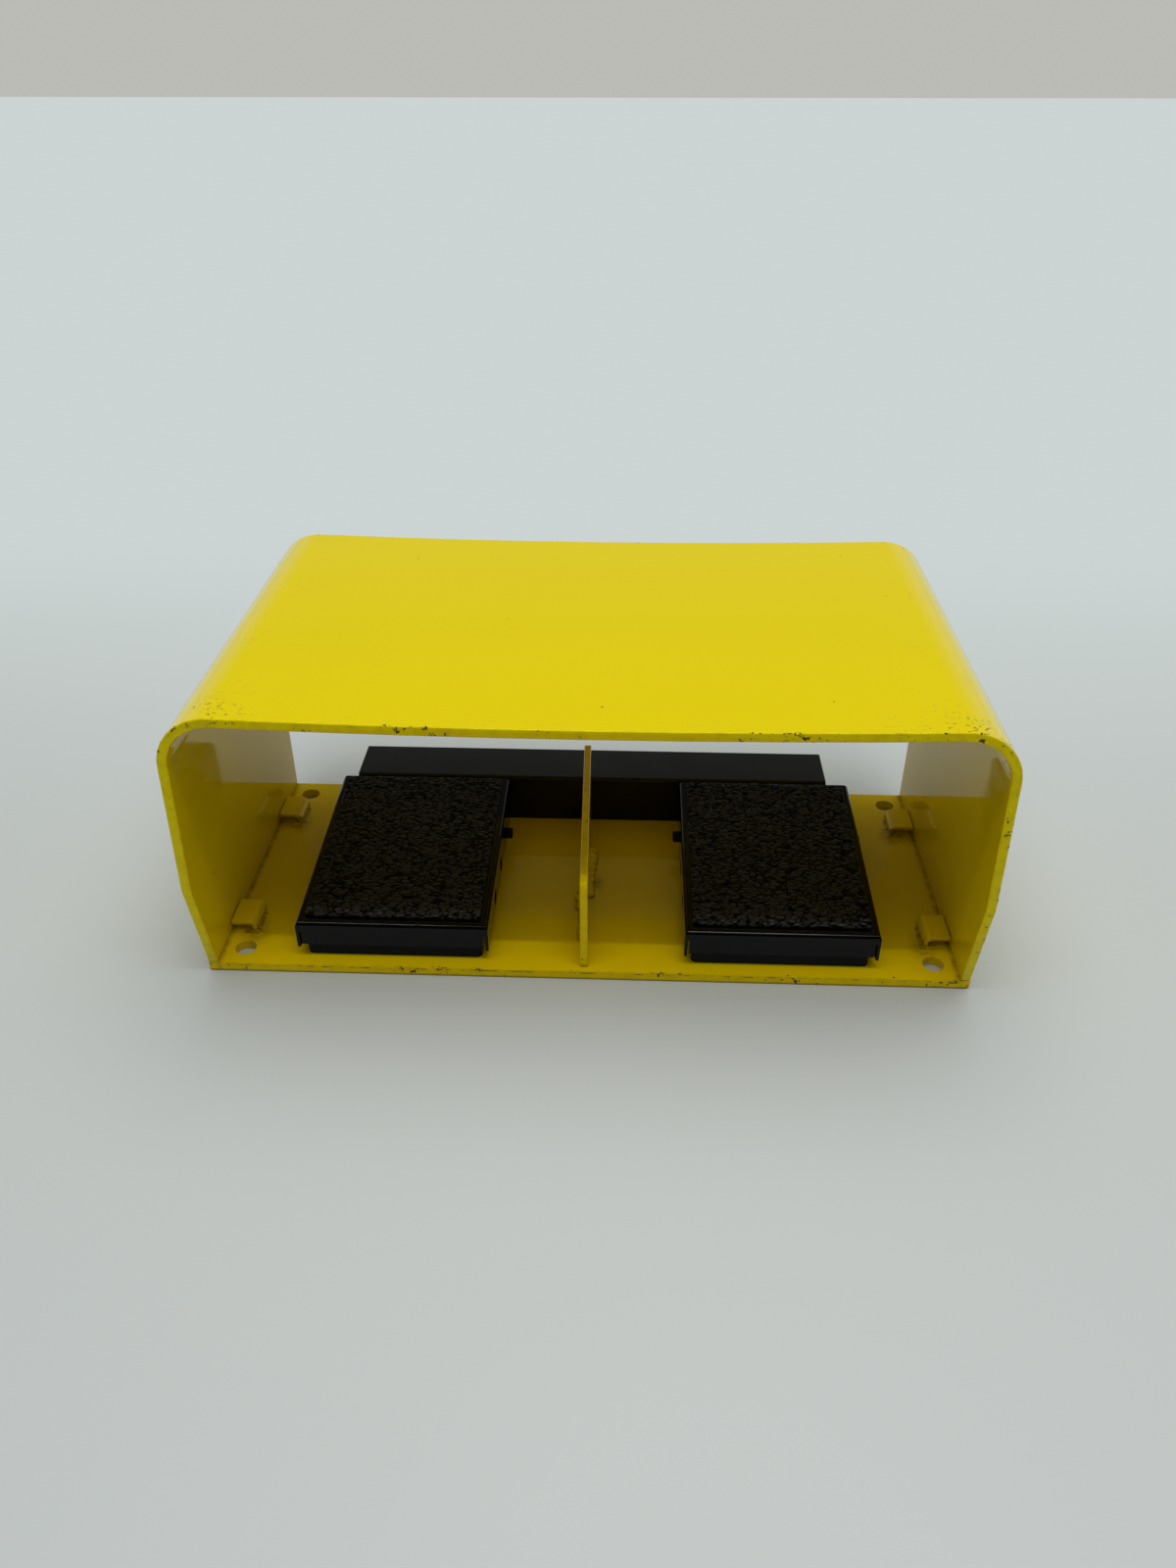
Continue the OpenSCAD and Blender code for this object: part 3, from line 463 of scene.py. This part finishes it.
# %% [markdown]
# ## Wear on the hood
# The hood's cheeks rise forwards to a nose and lean back above it, and the rear edge leans
# the other way, so both edges are ramps over the height. The front bends and the strip
# behind the front edge are rubbed most. Inside, the enamel gets a warmer painted shade.

# %% Hood rules
NOSE_RISE = 43 * MM
BROW_BACK = 4 * MM
BEND_R = 21 * MM

nose_z, shoulder_z = plate_high.z + NOSE_RISE, hood_high.z - BEND_R


def hood_edge(tree, x, y, z):
    """Distance behind the hood's front edge or ahead of its rear edge."""
    nose = ramp(tree, z, plate_high.z, nose_z, plate_low.y, hood_low.y)
    brow = ramp(tree, z, nose_z, shoulder_z, 0.0, BROW_BACK)
    tail = ramp(tree, z, nose_z, shoulder_z, plate_high.y, hood_high.y)
    front = calc(tree, "SUBTRACT", y, calc(tree, "ADD", nose, brow))
    return calc(tree, "MINIMUM", front, calc(tree, "SUBTRACT", tail, y))


def hood_scuff(tree, x, y, z):
    """Boots rub the two front bends and the strip behind the front edge."""
    bend = fade(tree, calc(tree, "ABSOLUTE", x),
                hood_high.x - 60 * MM, hood_high.x - 8 * MM, 0.10, 1.0)
    front = fade(tree, y, hood_low.y + 4 * MM, hood_low.y + 30 * MM, 1.0, 0.12)
    high = rise(tree, z, hood_high.z - 30 * MM, hood_high.z - 12 * MM, 0.9)
    return calc(tree, "MULTIPLY", bend, front, high)


def hood_shaded_inside(tree, x, y, z):
    """Painted shade mask: one on the hood's inner faces, nought outside the middle of its sheet."""
    out = calc(tree, "SUBTRACT", calc(tree, "ABSOLUTE", x), hood_high.x - BEND_R)
    above = calc(tree, "SUBTRACT", z, hood_high.z - BEND_R)
    squares = [calc(tree, "POWER", calc(tree, "MAXIMUM", v, 0.0), 2.0) for v in (out, above)]
    from_bend = calc(tree, "POWER", calc(tree, "ADD", *squares), 0.5)
    return fade(tree, from_bend, BEND_R - 0.95 * SHEET, BEND_R - 0.78 * SHEET)


def above_plate(tree, x, y, z):
    """Height above the plate."""
    return calc(tree, "SUBTRACT", z, plate_high.z)


print("nose at", round(nose_z / MM, 1), "mm, shoulder at", round(shoulder_z / MM, 1), "mm")

# %% [markdown]
# ## Wear on the divider, the clips and the welds
# These pieces sit in the guard's shade, so they get the painted shade tone all over. The divider
# chips along its top and front. The clips wear evenly and rust at their ends, and the welds
# have no edges to chip.

# %% Small rules and the enamels
bar_low, bar_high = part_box("centre_divider")


def shaded_everywhere(tree, x, y, z):
    """The whole piece gets the painted shade tone."""
    return 1.0


def divider_edge(tree, x, y, z):
    """Distance inside the divider's outline."""
    below = calc(tree, "SUBTRACT", bar_high.z, z)
    return calc(tree, "MINIMUM", below, calc(tree, "SUBTRACT", y, bar_low.y))


def always_near(tree, x, y, z):
    """Small pieces wear all over."""
    return 1.2 * MM


def far_from_edges(tree, x, y, z):
    """Weld beads have no edges to chip."""
    return 5 * MM


def clip_corner(tree, x, y, z):
    """Rust gathers under the front end of each clip and along its foot."""
    front = calc(tree, "MINIMUM", metres_to(tree, y, clip_low.y),
                 metres_to(tree, y, clip_high.y - CLIP_LENGTH))
    above = calc(tree, "MAXIMUM", calc(tree, "SUBTRACT", z, plate_high.z + 3 * MM), 0.0)
    return calc(tree, "MINIMUM", calc(tree, "ADD", front, above), above_plate(tree, x, y, z))


# Every piece but the hood gets the painted shade tone all over.
plate_enamel = enamel("plate_enamel", plate_edge, plate_corner, shaded_everywhere,
                      line_rule=plate_line, chips=1.5)
hood_enamel = enamel("hood_enamel", hood_edge, above_plate, hood_shaded_inside, hood_scuff,
                     chips=1.5, specks=5.0, stains=0.5)
divider_enamel = enamel("divider_enamel", divider_edge, above_plate, shaded_everywhere, chips=0.9)
clip_enamel = enamel("clip_enamel", always_near, clip_corner, shaded_everywhere, chips=0.3, stains=1.4)
weld_enamel = enamel("weld_enamel", far_from_edges, above_plate, shaded_everywhere, specks=0.0, stains=1.5)
print("enamels:", [m.name for m in bpy.data.materials if "enamel" in m.name])

# %% [markdown]
# ## Black and bare finishes
# The treadles are semi-gloss black enamel, the box a flatter black. Screws, brackets and
# spring seats are zinc plated, the springs are bright wire, and the pins are black oxide.
# Each finish mixes two tones with a fine noise, varies its roughness, and gets a small bump.

# %% Finish builder
BROADER = 14


def finish_of(name, dark, light, scale, rough, metal=0.0, relief=0.02 * MM, shine=0.5):
    """Two-tone finish with uneven roughness and a fine relief."""
    made, tree, body = shader(name)
    where = place(tree)
    fine = grain(tree, where, scale, 4)
    broad = grain(tree, where, scale / BROADER, 3)
    mixed = calc(tree, "ADD", calc(tree, "MULTIPLY", fine, 0.6), calc(tree, "MULTIPLY", broad, 0.4))
    fill_in(tree, body, {
        "Base Color": blend_colour(tree, rise(tree, mixed, 0.35, 0.65), (*dark, 1), (*light, 1)),
        "Roughness": fade(tree, broad, 0.3, 0.7, *rough),
        "Normal": bump(tree, fine, relief, 0.6),
        "Metallic": metal, "Specular IOR Level": shine})
    return made


treadle_enamel = finish_of("treadle_enamel", (0.0006, 0.0008, 0.0010), (0.0012, 0.0015, 0.0018),
                           420, (0.06, 0.12), relief=0.008 * MM, shine=0.22)
pan_enamel = finish_of("pan_enamel", (0.0080, 0.0105, 0.0190), (0.0100, 0.0130, 0.0230), 420,
                       (0.2, 0.3), shine=0.05)
box_paint = finish_of("box_paint", (0.0006, 0.0009, 0.0004), (0.0010, 0.0014, 0.0007), 900,
                      (0.28, 0.33), relief=0.004 * MM, shine=0.38)
nylon = finish_of("black_nylon", (0.012, 0.012, 0.013), (0.022, 0.022, 0.023), 1200, (0.42, 0.55))
black_rubber = finish_of("black_rubber", (0.006, 0.006, 0.006), (0.012, 0.012, 0.011), 900,
                         (0.5, 0.65), shine=0.3)
phenolic = finish_of("phenolic", (0.018, 0.012, 0.010), (0.040, 0.026, 0.020), 500, (0.30, 0.45))
red_plastic = finish_of("red_plastic", (0.32, 0.018, 0.012), (0.42, 0.028, 0.018), 900,
                        (0.25, 0.35))
lead_jacket = finish_of("lead_jacket", (0.050, 0.051, 0.052), (0.075, 0.076, 0.078), 900,
                        (0.5, 0.62))
zinc = finish_of("zinc_plate", (0.42, 0.42, 0.40), (0.60, 0.60, 0.57), 700, (0.28, 0.42), metal=1.0)
green_zinc = finish_of("green_zinc", (0.030, 0.16, 0.055), (0.06, 0.24, 0.09), 700,
                       (0.30, 0.42), metal=0.6)
bright_wire = finish_of("bright_wire", (0.40, 0.40, 0.41), (0.58, 0.58, 0.58), 900,
                        (0.20, 0.32), metal=1.0)
brass = finish_of("brass_blade", (0.55, 0.40, 0.13), (0.70, 0.54, 0.22), 700,
                  (0.25, 0.4), metal=1.0)
oxide = finish_of("black_oxide", (0.004, 0.0035, 0.003), (0.010, 0.007, 0.005), 800,
                  (0.35, 0.5), shine=0.15)
print("finishes:", len(bpy.data.materials))

# %% [markdown]
# The rubber of the tread pads has two looks in one. Its valleys stay matt and get a painted
# shade, and its pebbles are worn to a slight gloss. The pad's mesh carries the depth of its
# grain on every point, and the rubber reads it there.

# %% Tread rubber
PEBBLE_DARK = (0.0044, 0.0046, 0.0036, 1)
PEBBLE_LIGHT = (0.0074, 0.0076, 0.0061, 1)
VALLEY_SHADE = (0.0004, 0.0004, 0.0002, 1)

tread_rubber, rubber_tree, rubber_body = shader("tread_rubber")
depth = add(rubber_tree, "Attribute", attribute_name="depth").outputs["Fac"]
worn = grain(rubber_tree, place(rubber_tree), 1400, 3)
pebble_tone = blend_colour(rubber_tree, worn, PEBBLE_DARK, PEBBLE_LIGHT)
# Painted shade: the valleys are darkened by their depth
valley_shade = rise(rubber_tree, depth, 0.40, 1.0)
fill_in(rubber_tree, rubber_body, {
    "Base Color": blend_colour(rubber_tree, valley_shade, pebble_tone, VALLEY_SHADE),
    "Specular IOR Level": fade(rubber_tree, depth, 0.35, 1.0, 0.36, 0.02),
    "Roughness": fade(rubber_tree, worn, 0.3, 0.7, 0.34, 0.44),
    "Normal": bump(rubber_tree, worn, 0.02 * MM, 0.5)})
print("tread rubber:", len(rubber_tree.nodes), "nodes")

# %% [markdown]
# ## Crisp copies
# The construction's meshes have razor-sharp corners, and painted or pressed metal never
# does. Each rigid piece is copied, its loose triangles are merged, flat faces are joined
# again, and a bevel rounds the corners by a few tenths of a millimetre so that they catch the
# light. Weighted normals keep the broad faces flat. The copy then stands for the original:
# it rides on the same body, gets its finish, and the original is hidden.

# %% Places in the record
record = frame["record"]
body_of = {node: body for body, members in record["behaviour"]["bodies"].items()
           for node in members}


def settle(piece, node, material):
    """Gives a finished piece its material in one slot and its body, and hides the node that it
    stands for.
    """
    piece.data.materials.clear()
    piece.data.materials.append(material)
    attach(piece, body_of[node])
    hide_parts(node)


def plain_piece(draft, name):
    """Replaces a draft and its modifiers with a plain mesh object."""
    evaluated = draft.evaluated_get(bpy.context.evaluated_depsgraph_get())
    baked = bpy.data.meshes.new_from_object(evaluated)
    bpy.data.objects.remove(draft)
    baked.name = name
    return put(bpy.data.objects.new(name, baked))


# %% Copy with soft corners
SAME_POINT = 1e-6
FLAT_ANGLE = math.radians(0.4)
CORNER_ANGLE = math.radians(32)


def soft_corners(node, width, material, segments=3):
    """Copy of a node with bevelled corners and smooth shading."""
    form = bmesh.new()
    form.from_mesh(frame["nodes"][node].data)
    bmesh.ops.remove_doubles(form, verts=form.verts, dist=SAME_POINT)
    bmesh.ops.dissolve_limit(form, angle_limit=FLAT_ANGLE, verts=form.verts, edges=form.edges)
    mesh = bpy.data.meshes.new(node + "_copy")
    form.to_mesh(mesh)
    form.free()
    mesh.shade_smooth()
    draft = put(bpy.data.objects.new(node + "_copy", mesh))
    round_off = draft.modifiers.new("corners", "BEVEL")
    round_off.width = width
    round_off.segments = segments
    round_off.limit_method = "ANGLE"
    round_off.angle_limit = CORNER_ANGLE
    round_off.use_clamp_overlap = True
    level = draft.modifiers.new("normals", "WEIGHTED_NORMAL")
    level.weight = 80
    piece = plain_piece(draft, node + "_soft")
    settle(piece, node, material)
    return piece


print("corners sharper than", round(math.degrees(CORNER_ANGLE)), "degrees are rounded")

# %% [markdown]
# ## The guard
# Base plate, bent hood, centre bar and the four strap clips. The thick painted plate has the
# softest corners, the small clips the crispest.

# %% Guard pieces
soft_corners("base_plate", 0.90 * MM, plate_enamel)
soft_corners("guard_hood", 0.60 * MM, hood_enamel)
soft_corners("centre_divider", 0.60 * MM, divider_enamel)
soft_corners("strap_clips", 0.40 * MM, clip_enamel)

# %% [markdown]
# ## Treadles
# Each treadle is a folded sheet with a lip at the front and a flange down each side. A plain
# folded base stands under it, and a pin through both lets the treadle tip forwards.

# %% Treadles and their bases
for side in SIDES:
    treadle = soft_corners("treadle_" + side, 0.40 * MM, treadle_enamel)
    soft_corners("pan_" + side, 0.15 * MM, pan_enamel)
    soft_corners("pivot_pin_" + side, 0.10 * MM, oxide)
    print("treadle", side, [round(v / MM, 1) for v in treadle.dimensions], "mm")

# %% [markdown]
# ## Wiring box and small parts
# The box is a folded cover over the terminals, with a nylon cable gland at the rear. Screws,
# brackets, seats and switches sit under the treadles and in the box. They come from the
# construction with their own finish and a slightly broken edge.

# %% Wiring box, gland and small parts
soft_corners("wiring_box", 0.25 * MM, box_paint)
for node in ("gland_body", "gland_cap", "gland_locknut"):
    soft_corners(node, 0.20 * MM, nylon)

SMALL_PIECES = {
    "box_brackets": zinc, "box_screws": zinc, "pan_screws": zinc, "terminal_screws": zinc,
    "switch_screws": zinc, "pivot_clips": zinc, "spring_seats": zinc,
    "switch_bracket_left": zinc, "switch_bracket_right": zinc,
    "striker_left": zinc, "striker_right": zinc,
    "gland_seal": black_rubber, "lead_grommets": black_rubber, "stop_buffers": black_rubber,
    "terminal_block": phenolic, "switch_body_left": phenolic, "switch_body_right": phenolic,
    "switch_button_left": red_plastic, "switch_button_right": red_plastic,
    "ground_screw": green_zinc, "switch_terminals": brass,
    "lead_left": lead_jacket, "lead_right": lead_jacket,
}
for node, material in SMALL_PIECES.items():
    soft_corners(node, 0.10 * MM, material, segments=2)
print("small pieces:", len(SMALL_PIECES))

# %% [markdown]
# ## Tread pads
# A pad of black rubber with a pebbled leather grain is glued on each treadle. The pebbles
# are about 3 mm across the pad and 1.5 mm along it, with narrow valleys between them. A fine
# grid is lowered by a cell pattern that is bent by noise, so the grain has real relief and a
# ragged edge. The valleys run where the two nearest cells are equally far. The noise vectors
# start from a fixed seed, so the pebbles are the same on every run.

# %% Grain
PEBBLE = (3.3 * MM, 1.5 * MM)
VALLEY_DEPTH = 0.38 * MM
VALLEY_WIDTH = 0.32
GRAIN_SEED = 7
noise.seed_set(GRAIN_SEED)


def smooth(low, high, value):
    """Smooth step from 0 at low to 1 at high."""
    t = min(max((value - low) / (high - low), 0.0), 1.0)
    return t * t * (3 - 2 * t)


def grain_depth(u, v, shift):
    """How far the grain lies below the pad's top at a place on it."""
    cell_spot = Vector((u / PEBBLE[0] + shift, v / PEBBLE[1], 0.0))
    bend = noise.noise_vector(cell_spot * 0.9)
    cell_spot += Vector((bend.x, bend.y, 0.0)) * 0.5
    near, next_one = noise.voronoi(cell_spot)[0][:2]
    ridge = smooth(0.0, VALLEY_WIDTH, next_one - near)
    lump = 0.88 + 0.14 * noise.noise(cell_spot * 0.45 + Vector((0, 0, 3)))
    wrinkle = 0.12 * noise.noise(cell_spot * 3.1 + Vector((0, 0, 7)))
    return VALLEY_DEPTH * (1.0 - ridge * lump - wrinkle * ridge)


print("grain lies", round(grain_depth(0.0, 0.0, 0.0) / MM, 2), "mm down at the pad's middle")

# %% [markdown]
# The pad lies in the tilted plane of its treadle, so its grid is laid along that plane. The
# outline has rounded corners: grid points in a corner square slide in along their direction
# from the corner's centre.

# %% Outline of the pad
PAD_CORNER = 2.0 * MM


def pad_plane(mesh):
    """Up and along of a plain pad, and its lowest and highest reach across, along and up."""
    up = max(mesh.polygons, key=lambda f: f.area * f.normal.z).normal.copy()
    along = Vector((1, 0, 0)).cross(up) * -1.0
    reaches = [[v.co.dot(axis) for v in mesh.vertices] for axis in (Vector((1, 0, 0)), along, up)]
    return up, along, [(min(r), max(r)) for r in reaches]


def past_corner(u, v, half):
    """How far a point is past the centre of its rounded corner, across and along."""
    return abs(u) - (half[0] - PAD_CORNER), abs(v) - (half[1] - PAD_CORNER)


def tucked(u, v, half):
    """A point of the square grid, moved inside the rounded outline."""
    du, dv = past_corner(u, v, half)
    if du > 0 and dv > 0:
        pull = max(du, dv) / math.hypot(du, dv)
        u = math.copysign(half[0] - PAD_CORNER + du * pull, u)
        v = math.copysign(half[1] - PAD_CORNER + dv * pull, v)
    return u, v


def inside_outline(u, v, half):
    """Distance inside the rounded outline, nought on it."""
    du, dv = past_corner(u, v, half)
    outside = math.hypot(max(du, 0.0), max(dv, 0.0))
    return max(PAD_CORNER - outside - min(max(du, dv), 0.0), 0.0)


pad_spans = pad_plane(frame["nodes"]["tread_pad_left"].data)[2]
print("pad size:", [round((high - low) / MM, 1) for low, high in pad_spans], "mm")

# %% [markdown]
# The top is a fine grid of quads. Its rim is wrapped down the sides and closed underneath,
# so that the pad is one solid skin.

# %% Pad
GRID = 0.30 * MM
RIM_DROP = 0.15 * MM
RIM_WIDTH = 0.6 * MM


def grid_skin(columns, rows):
    """Faces of a grid of points, and the point numbers around its rim."""
    width = columns + 1
    faces = [(j * width + i, j * width + i + 1, (j + 1) * width + i + 1, (j + 1) * width + i)
             for j in range(rows) for i in range(columns)]
    rim = list(range(columns)) + [j * width + columns for j in range(rows)]
    rim += [rows * width + i for i in range(columns, 0, -1)]
    rim += [j * width for j in range(rows, 0, -1)]
    return faces, rim


def tread_pad(side, shift):
    """Grained pad in the place of the construction's plain one."""
    node = "tread_pad_" + side
    up, along, spans = pad_plane(frame["nodes"][node].data)
    middle = [(low + high) / 2 for low, high in spans]
    half = [(high - low) / 2 for low, high in spans]
    bottom, top = spans[2]
    columns, rows = round(2 * half[0] / GRID), round(2 * half[1] / GRID)
    points, depths = [], []
    for j in range(rows + 1):
        for i in range(columns + 1):
            u, v = tucked(half[0] * (2 * i / columns - 1), half[1] * (2 * j / rows - 1), half)
            drop = grain_depth(u, v, shift)
            depths.append(drop / VALLEY_DEPTH)
            drop += RIM_DROP * (1.0 - smooth(0.0, RIM_WIDTH, inside_outline(u, v, half))) ** 2
            points.append(Vector((middle[0] + u, 0, 0)) + along * (middle[1] + v)
                          + up * (top - drop))
    faces, rim = grid_skin(columns, rows)
    first = len(points)
    points += [points[k] - up * (points[k].dot(up) - bottom) for k in rim]
    count = len(rim)
    for k in range(count):
        after = (k + 1) % count
        faces.append((rim[k], first + k, first + after, rim[after]))
    faces.append(tuple(first + k for k in reversed(range(count))))
    made = bpy.data.meshes.new(node + "_grain")
    made.from_pydata(points, [], faces)
    depth_layer = made.attributes.new("depth", "FLOAT", "POINT")
    depth_layer.data.foreach_set("value", depths + [1.0] * count)
    made.shade_smooth()
    made.update()
    settle(put(bpy.data.objects.new(node + "_grain", made)), node, tread_rubber)
    return len(faces)


for side, shift in zip(SIDES, (0.0, 41.3)):
    print("pad", side, tread_pad(side, shift), "faces")

# %% [markdown]
# ## Return springs
# Each spring is a round wire wound in an even helix between its seat and the treadle.
# Geometry Nodes draws the helix as a curve and sweeps a circle along it. The spring stands on
# the frame. On the real switch it is pressed shorter as its treadle goes down.

# %% Geometry group helpers
def node_group(name, values, takes=None):
    """Geometry group with a geometry output, a mesh to work on first, and then named values."""
    group = bpy.data.node_groups.new(name, "GeometryNodeTree")
    group.interface.new_socket("Geometry", in_out="OUTPUT", socket_type="NodeSocketGeometry")
    if takes:
        group.interface.new_socket(takes, in_out="INPUT", socket_type="NodeSocketGeometry")
    for label, value in values.items():
        socket = group.interface.new_socket(label, in_out="INPUT", socket_type="NodeSocketFloat")
        socket.default_value = value
    return group


def close_group(group, shape, material):
    """Ends a group: real geometry, smooth shading, then its material."""
    real = add(group, "RealizeInstances", {0: shape}).outputs[0]
    soft = add(group, "SetShadeSmooth", {0: real}).outputs[0]
    painted = add(group, "SetMaterial", {0: soft, "Material": material}).outputs[0]
    fill_in(group, group.nodes.new("NodeGroupOutput"), {0: painted})


def grown(name, group, values, seed_mesh):
    """Runs a geometry group on a mesh and returns a plain mesh object."""
    draft = put(bpy.data.objects.new(name + "_draft", seed_mesh))
    grow = draft.modifiers.new("grow", "NODES")
    grow.node_group = group
    for item in group.interface.items_tree:
        if item.item_type == "SOCKET" and item.in_out == "INPUT" and item.name in values:
            grow[item.identifier] = values[item.name]
    return plain_piece(draft, name)


print("group helpers:", [f.__name__ for f in (node_group, close_group, grown)])

# %% Springs
WIRE_R = 0.65 * MM
SPRING = {"Turns": 5.5, "Radius": 5 * MM, "Height": 15 * MM, "Wire": WIRE_R}

helix = node_group("helix", SPRING)
helix_in = helix.nodes.new("NodeGroupInput").outputs
spiral = add(helix, "CurveSpiral", {
    "Resolution": 40, "Rotations": helix_in["Turns"], "Start Radius": helix_in["Radius"],
    "End Radius": helix_in["Radius"], "Height": helix_in["Height"]})
wire = add(helix, "CurvePrimitiveCircle", {"Resolution": 14, "Radius": helix_in["Wire"]})
swept = add(helix, "CurveToMesh", {"Curve": spiral.outputs[0], "Profile Curve": wire.outputs[0],
                                   "Fill Caps": True})
close_group(helix, swept.outputs[0], bright_wire)

for side in SIDES:
    node = "return_spring_" + side
    low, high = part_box(node)
    middle = (low + high) / 2
    spring = grown(node + "_wire", helix, {
        **SPRING, "Radius": (high.x - low.x) / 2 - WIRE_R, "Height": high.z - low.z - 2 * WIRE_R},
        bpy.data.meshes.new(node + "_seed"))
    spring.data.transform(Matrix.Translation((middle.x, middle.y, low.z + WIRE_R)))
    settle(spring, node, bright_wire)
    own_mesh(spring)
    print(node, [round(v, 5) for v in spring.dimensions])

# %% [markdown]
# ## Weld beads
# Short beads fix the divider, finer ones the clips and the outside of the cheeks. A welder
# lays them as overlapping drops, so each row is a line of points whose radius wanders.
# Geometry Nodes turns the points into one volume and that into a single skin, which joins the
# drops like melted metal.

# %% Rows of drops
def drops(start, end, radius, pitch, fat=None):
    """Points and radii of one bead; fat is the share of the run with a heavier blob."""
    run = Vector(end) - Vector(start)
    count = max(2, round(run.length / pitch))
    made = []
    for k in range(count + 1):
        share = k / count
        wander = Vector((noise.noise(Vector((k * 1.7, start[0] * 900, 1))),
                         noise.noise(Vector((k * 1.3, 5, start[1] * 900))), 0))
        size = radius * (0.85 + 0.3 * noise.noise(Vector((k * 0.9, start[1] * 700, 9))))
        if fat and fat[0] <= share <= fat[1]:
            size *= 1.45
        made.append((Vector(start) + run * share + wander * radius * 0.35, size))
    return made


def bead_on_plate(start, end, radius, pitch, fat=None):
    """A bead on the plate's top, between two places given as (x, y)."""
    return drops((*start, plate_high.z), (*end, plate_high.z), radius, pitch, fat)


print("drops on a 10 mm bead:", len(bead_on_plate((0, 0), (0, 10 * MM), MM, 2 * MM)))

# %% Seams
BAR_OFF = -0.8 * MM
BAR_LEAN = math.radians(1.2)
HALF_BAR = 1.55 * MM
HALF_CLIP = CLIP_LENGTH / 2
CLIP_BEAD = (0.9 * MM, 1.2 * MM)
CHEEK_BEAD = (0.6 * MM, 0.8 * MM)


def beside_bar(side, y):
    """Place beside the divider, which stands a little off straight."""
    return BAR_OFF - math.sin(BAR_LEAN) * (y - bar_low.y) + side * HALF_BAR, y


seams = bead_on_plate(beside_bar(1, -31 * MM), beside_bar(1, -1 * MM),
                      2.5 * MM, 2.0 * MM, (0.55, 1.0))
seams += bead_on_plate(beside_bar(-1, -60 * MM), beside_bar(-1, -30 * MM),
                       2.0 * MM, 2.0 * MM, (0.65, 1.0))
for m in (-1, 1):
    beside_x, first_x, last_x = (m * (clip_inner + off) for off in (-0.3 * MM, 0.5 * MM, 5.0 * MM))
    for y in (clip_low.y + HALF_CLIP, clip_high.y - HALF_CLIP):
        front = y - HALF_CLIP
        ahead = front - 0.3 * MM
        seams += bead_on_plate((beside_x, front), (beside_x, y + HALF_CLIP * 0.6), *CLIP_BEAD)
        seams += bead_on_plate((first_x, ahead), (last_x, ahead), *CLIP_BEAD)
    outer = m * (hood_high.x + 0.05 * MM)
    seams += bead_on_plate((outer, plate_low.y + 3 * MM), (outer, plate_high.y - 3 * MM),
                           *CHEEK_BEAD)
print("seams:", len(seams), "drops")

# %% One skin for the drops
BEADS = {"Voxel": 0.3 * MM}

beads = node_group("beads", BEADS, takes="Points")
beads_in = beads.nodes.new("NodeGroupInput").outputs
dots = add(beads, "MeshToPoints", {"Mesh": beads_in["Points"]})
thickness = add(beads, "InputNamedAttribute", {"Name": "drop"}, data_type="FLOAT")
cloud = add(beads, "PointsToVolume",
            {"Points": dots.outputs[0], "Radius": thickness.outputs[0],
             "Voxel Size": beads_in["Voxel"]}, resolution_mode="VOXEL_SIZE")
skin = add(beads, "VolumeToMesh", {"Volume": cloud.outputs[0], "Threshold": 0.1},
           resolution_mode="GRID")
close_group(beads, skin.outputs[0], weld_enamel)

point_mesh = bpy.data.meshes.new("weld_points")
point_mesh.from_pydata([p for p, r in seams], [], [])
drop_layer = point_mesh.attributes.new("drop", "FLOAT", "POINT")
drop_layer.data.foreach_set("value", [r for p, r in seams])
weld = grown("weld_beads_skin", beads, BEADS, point_mesh)
settle(weld, "weld_beads", weld_enamel)
print("welds:", len(weld.data.polygons), "faces")
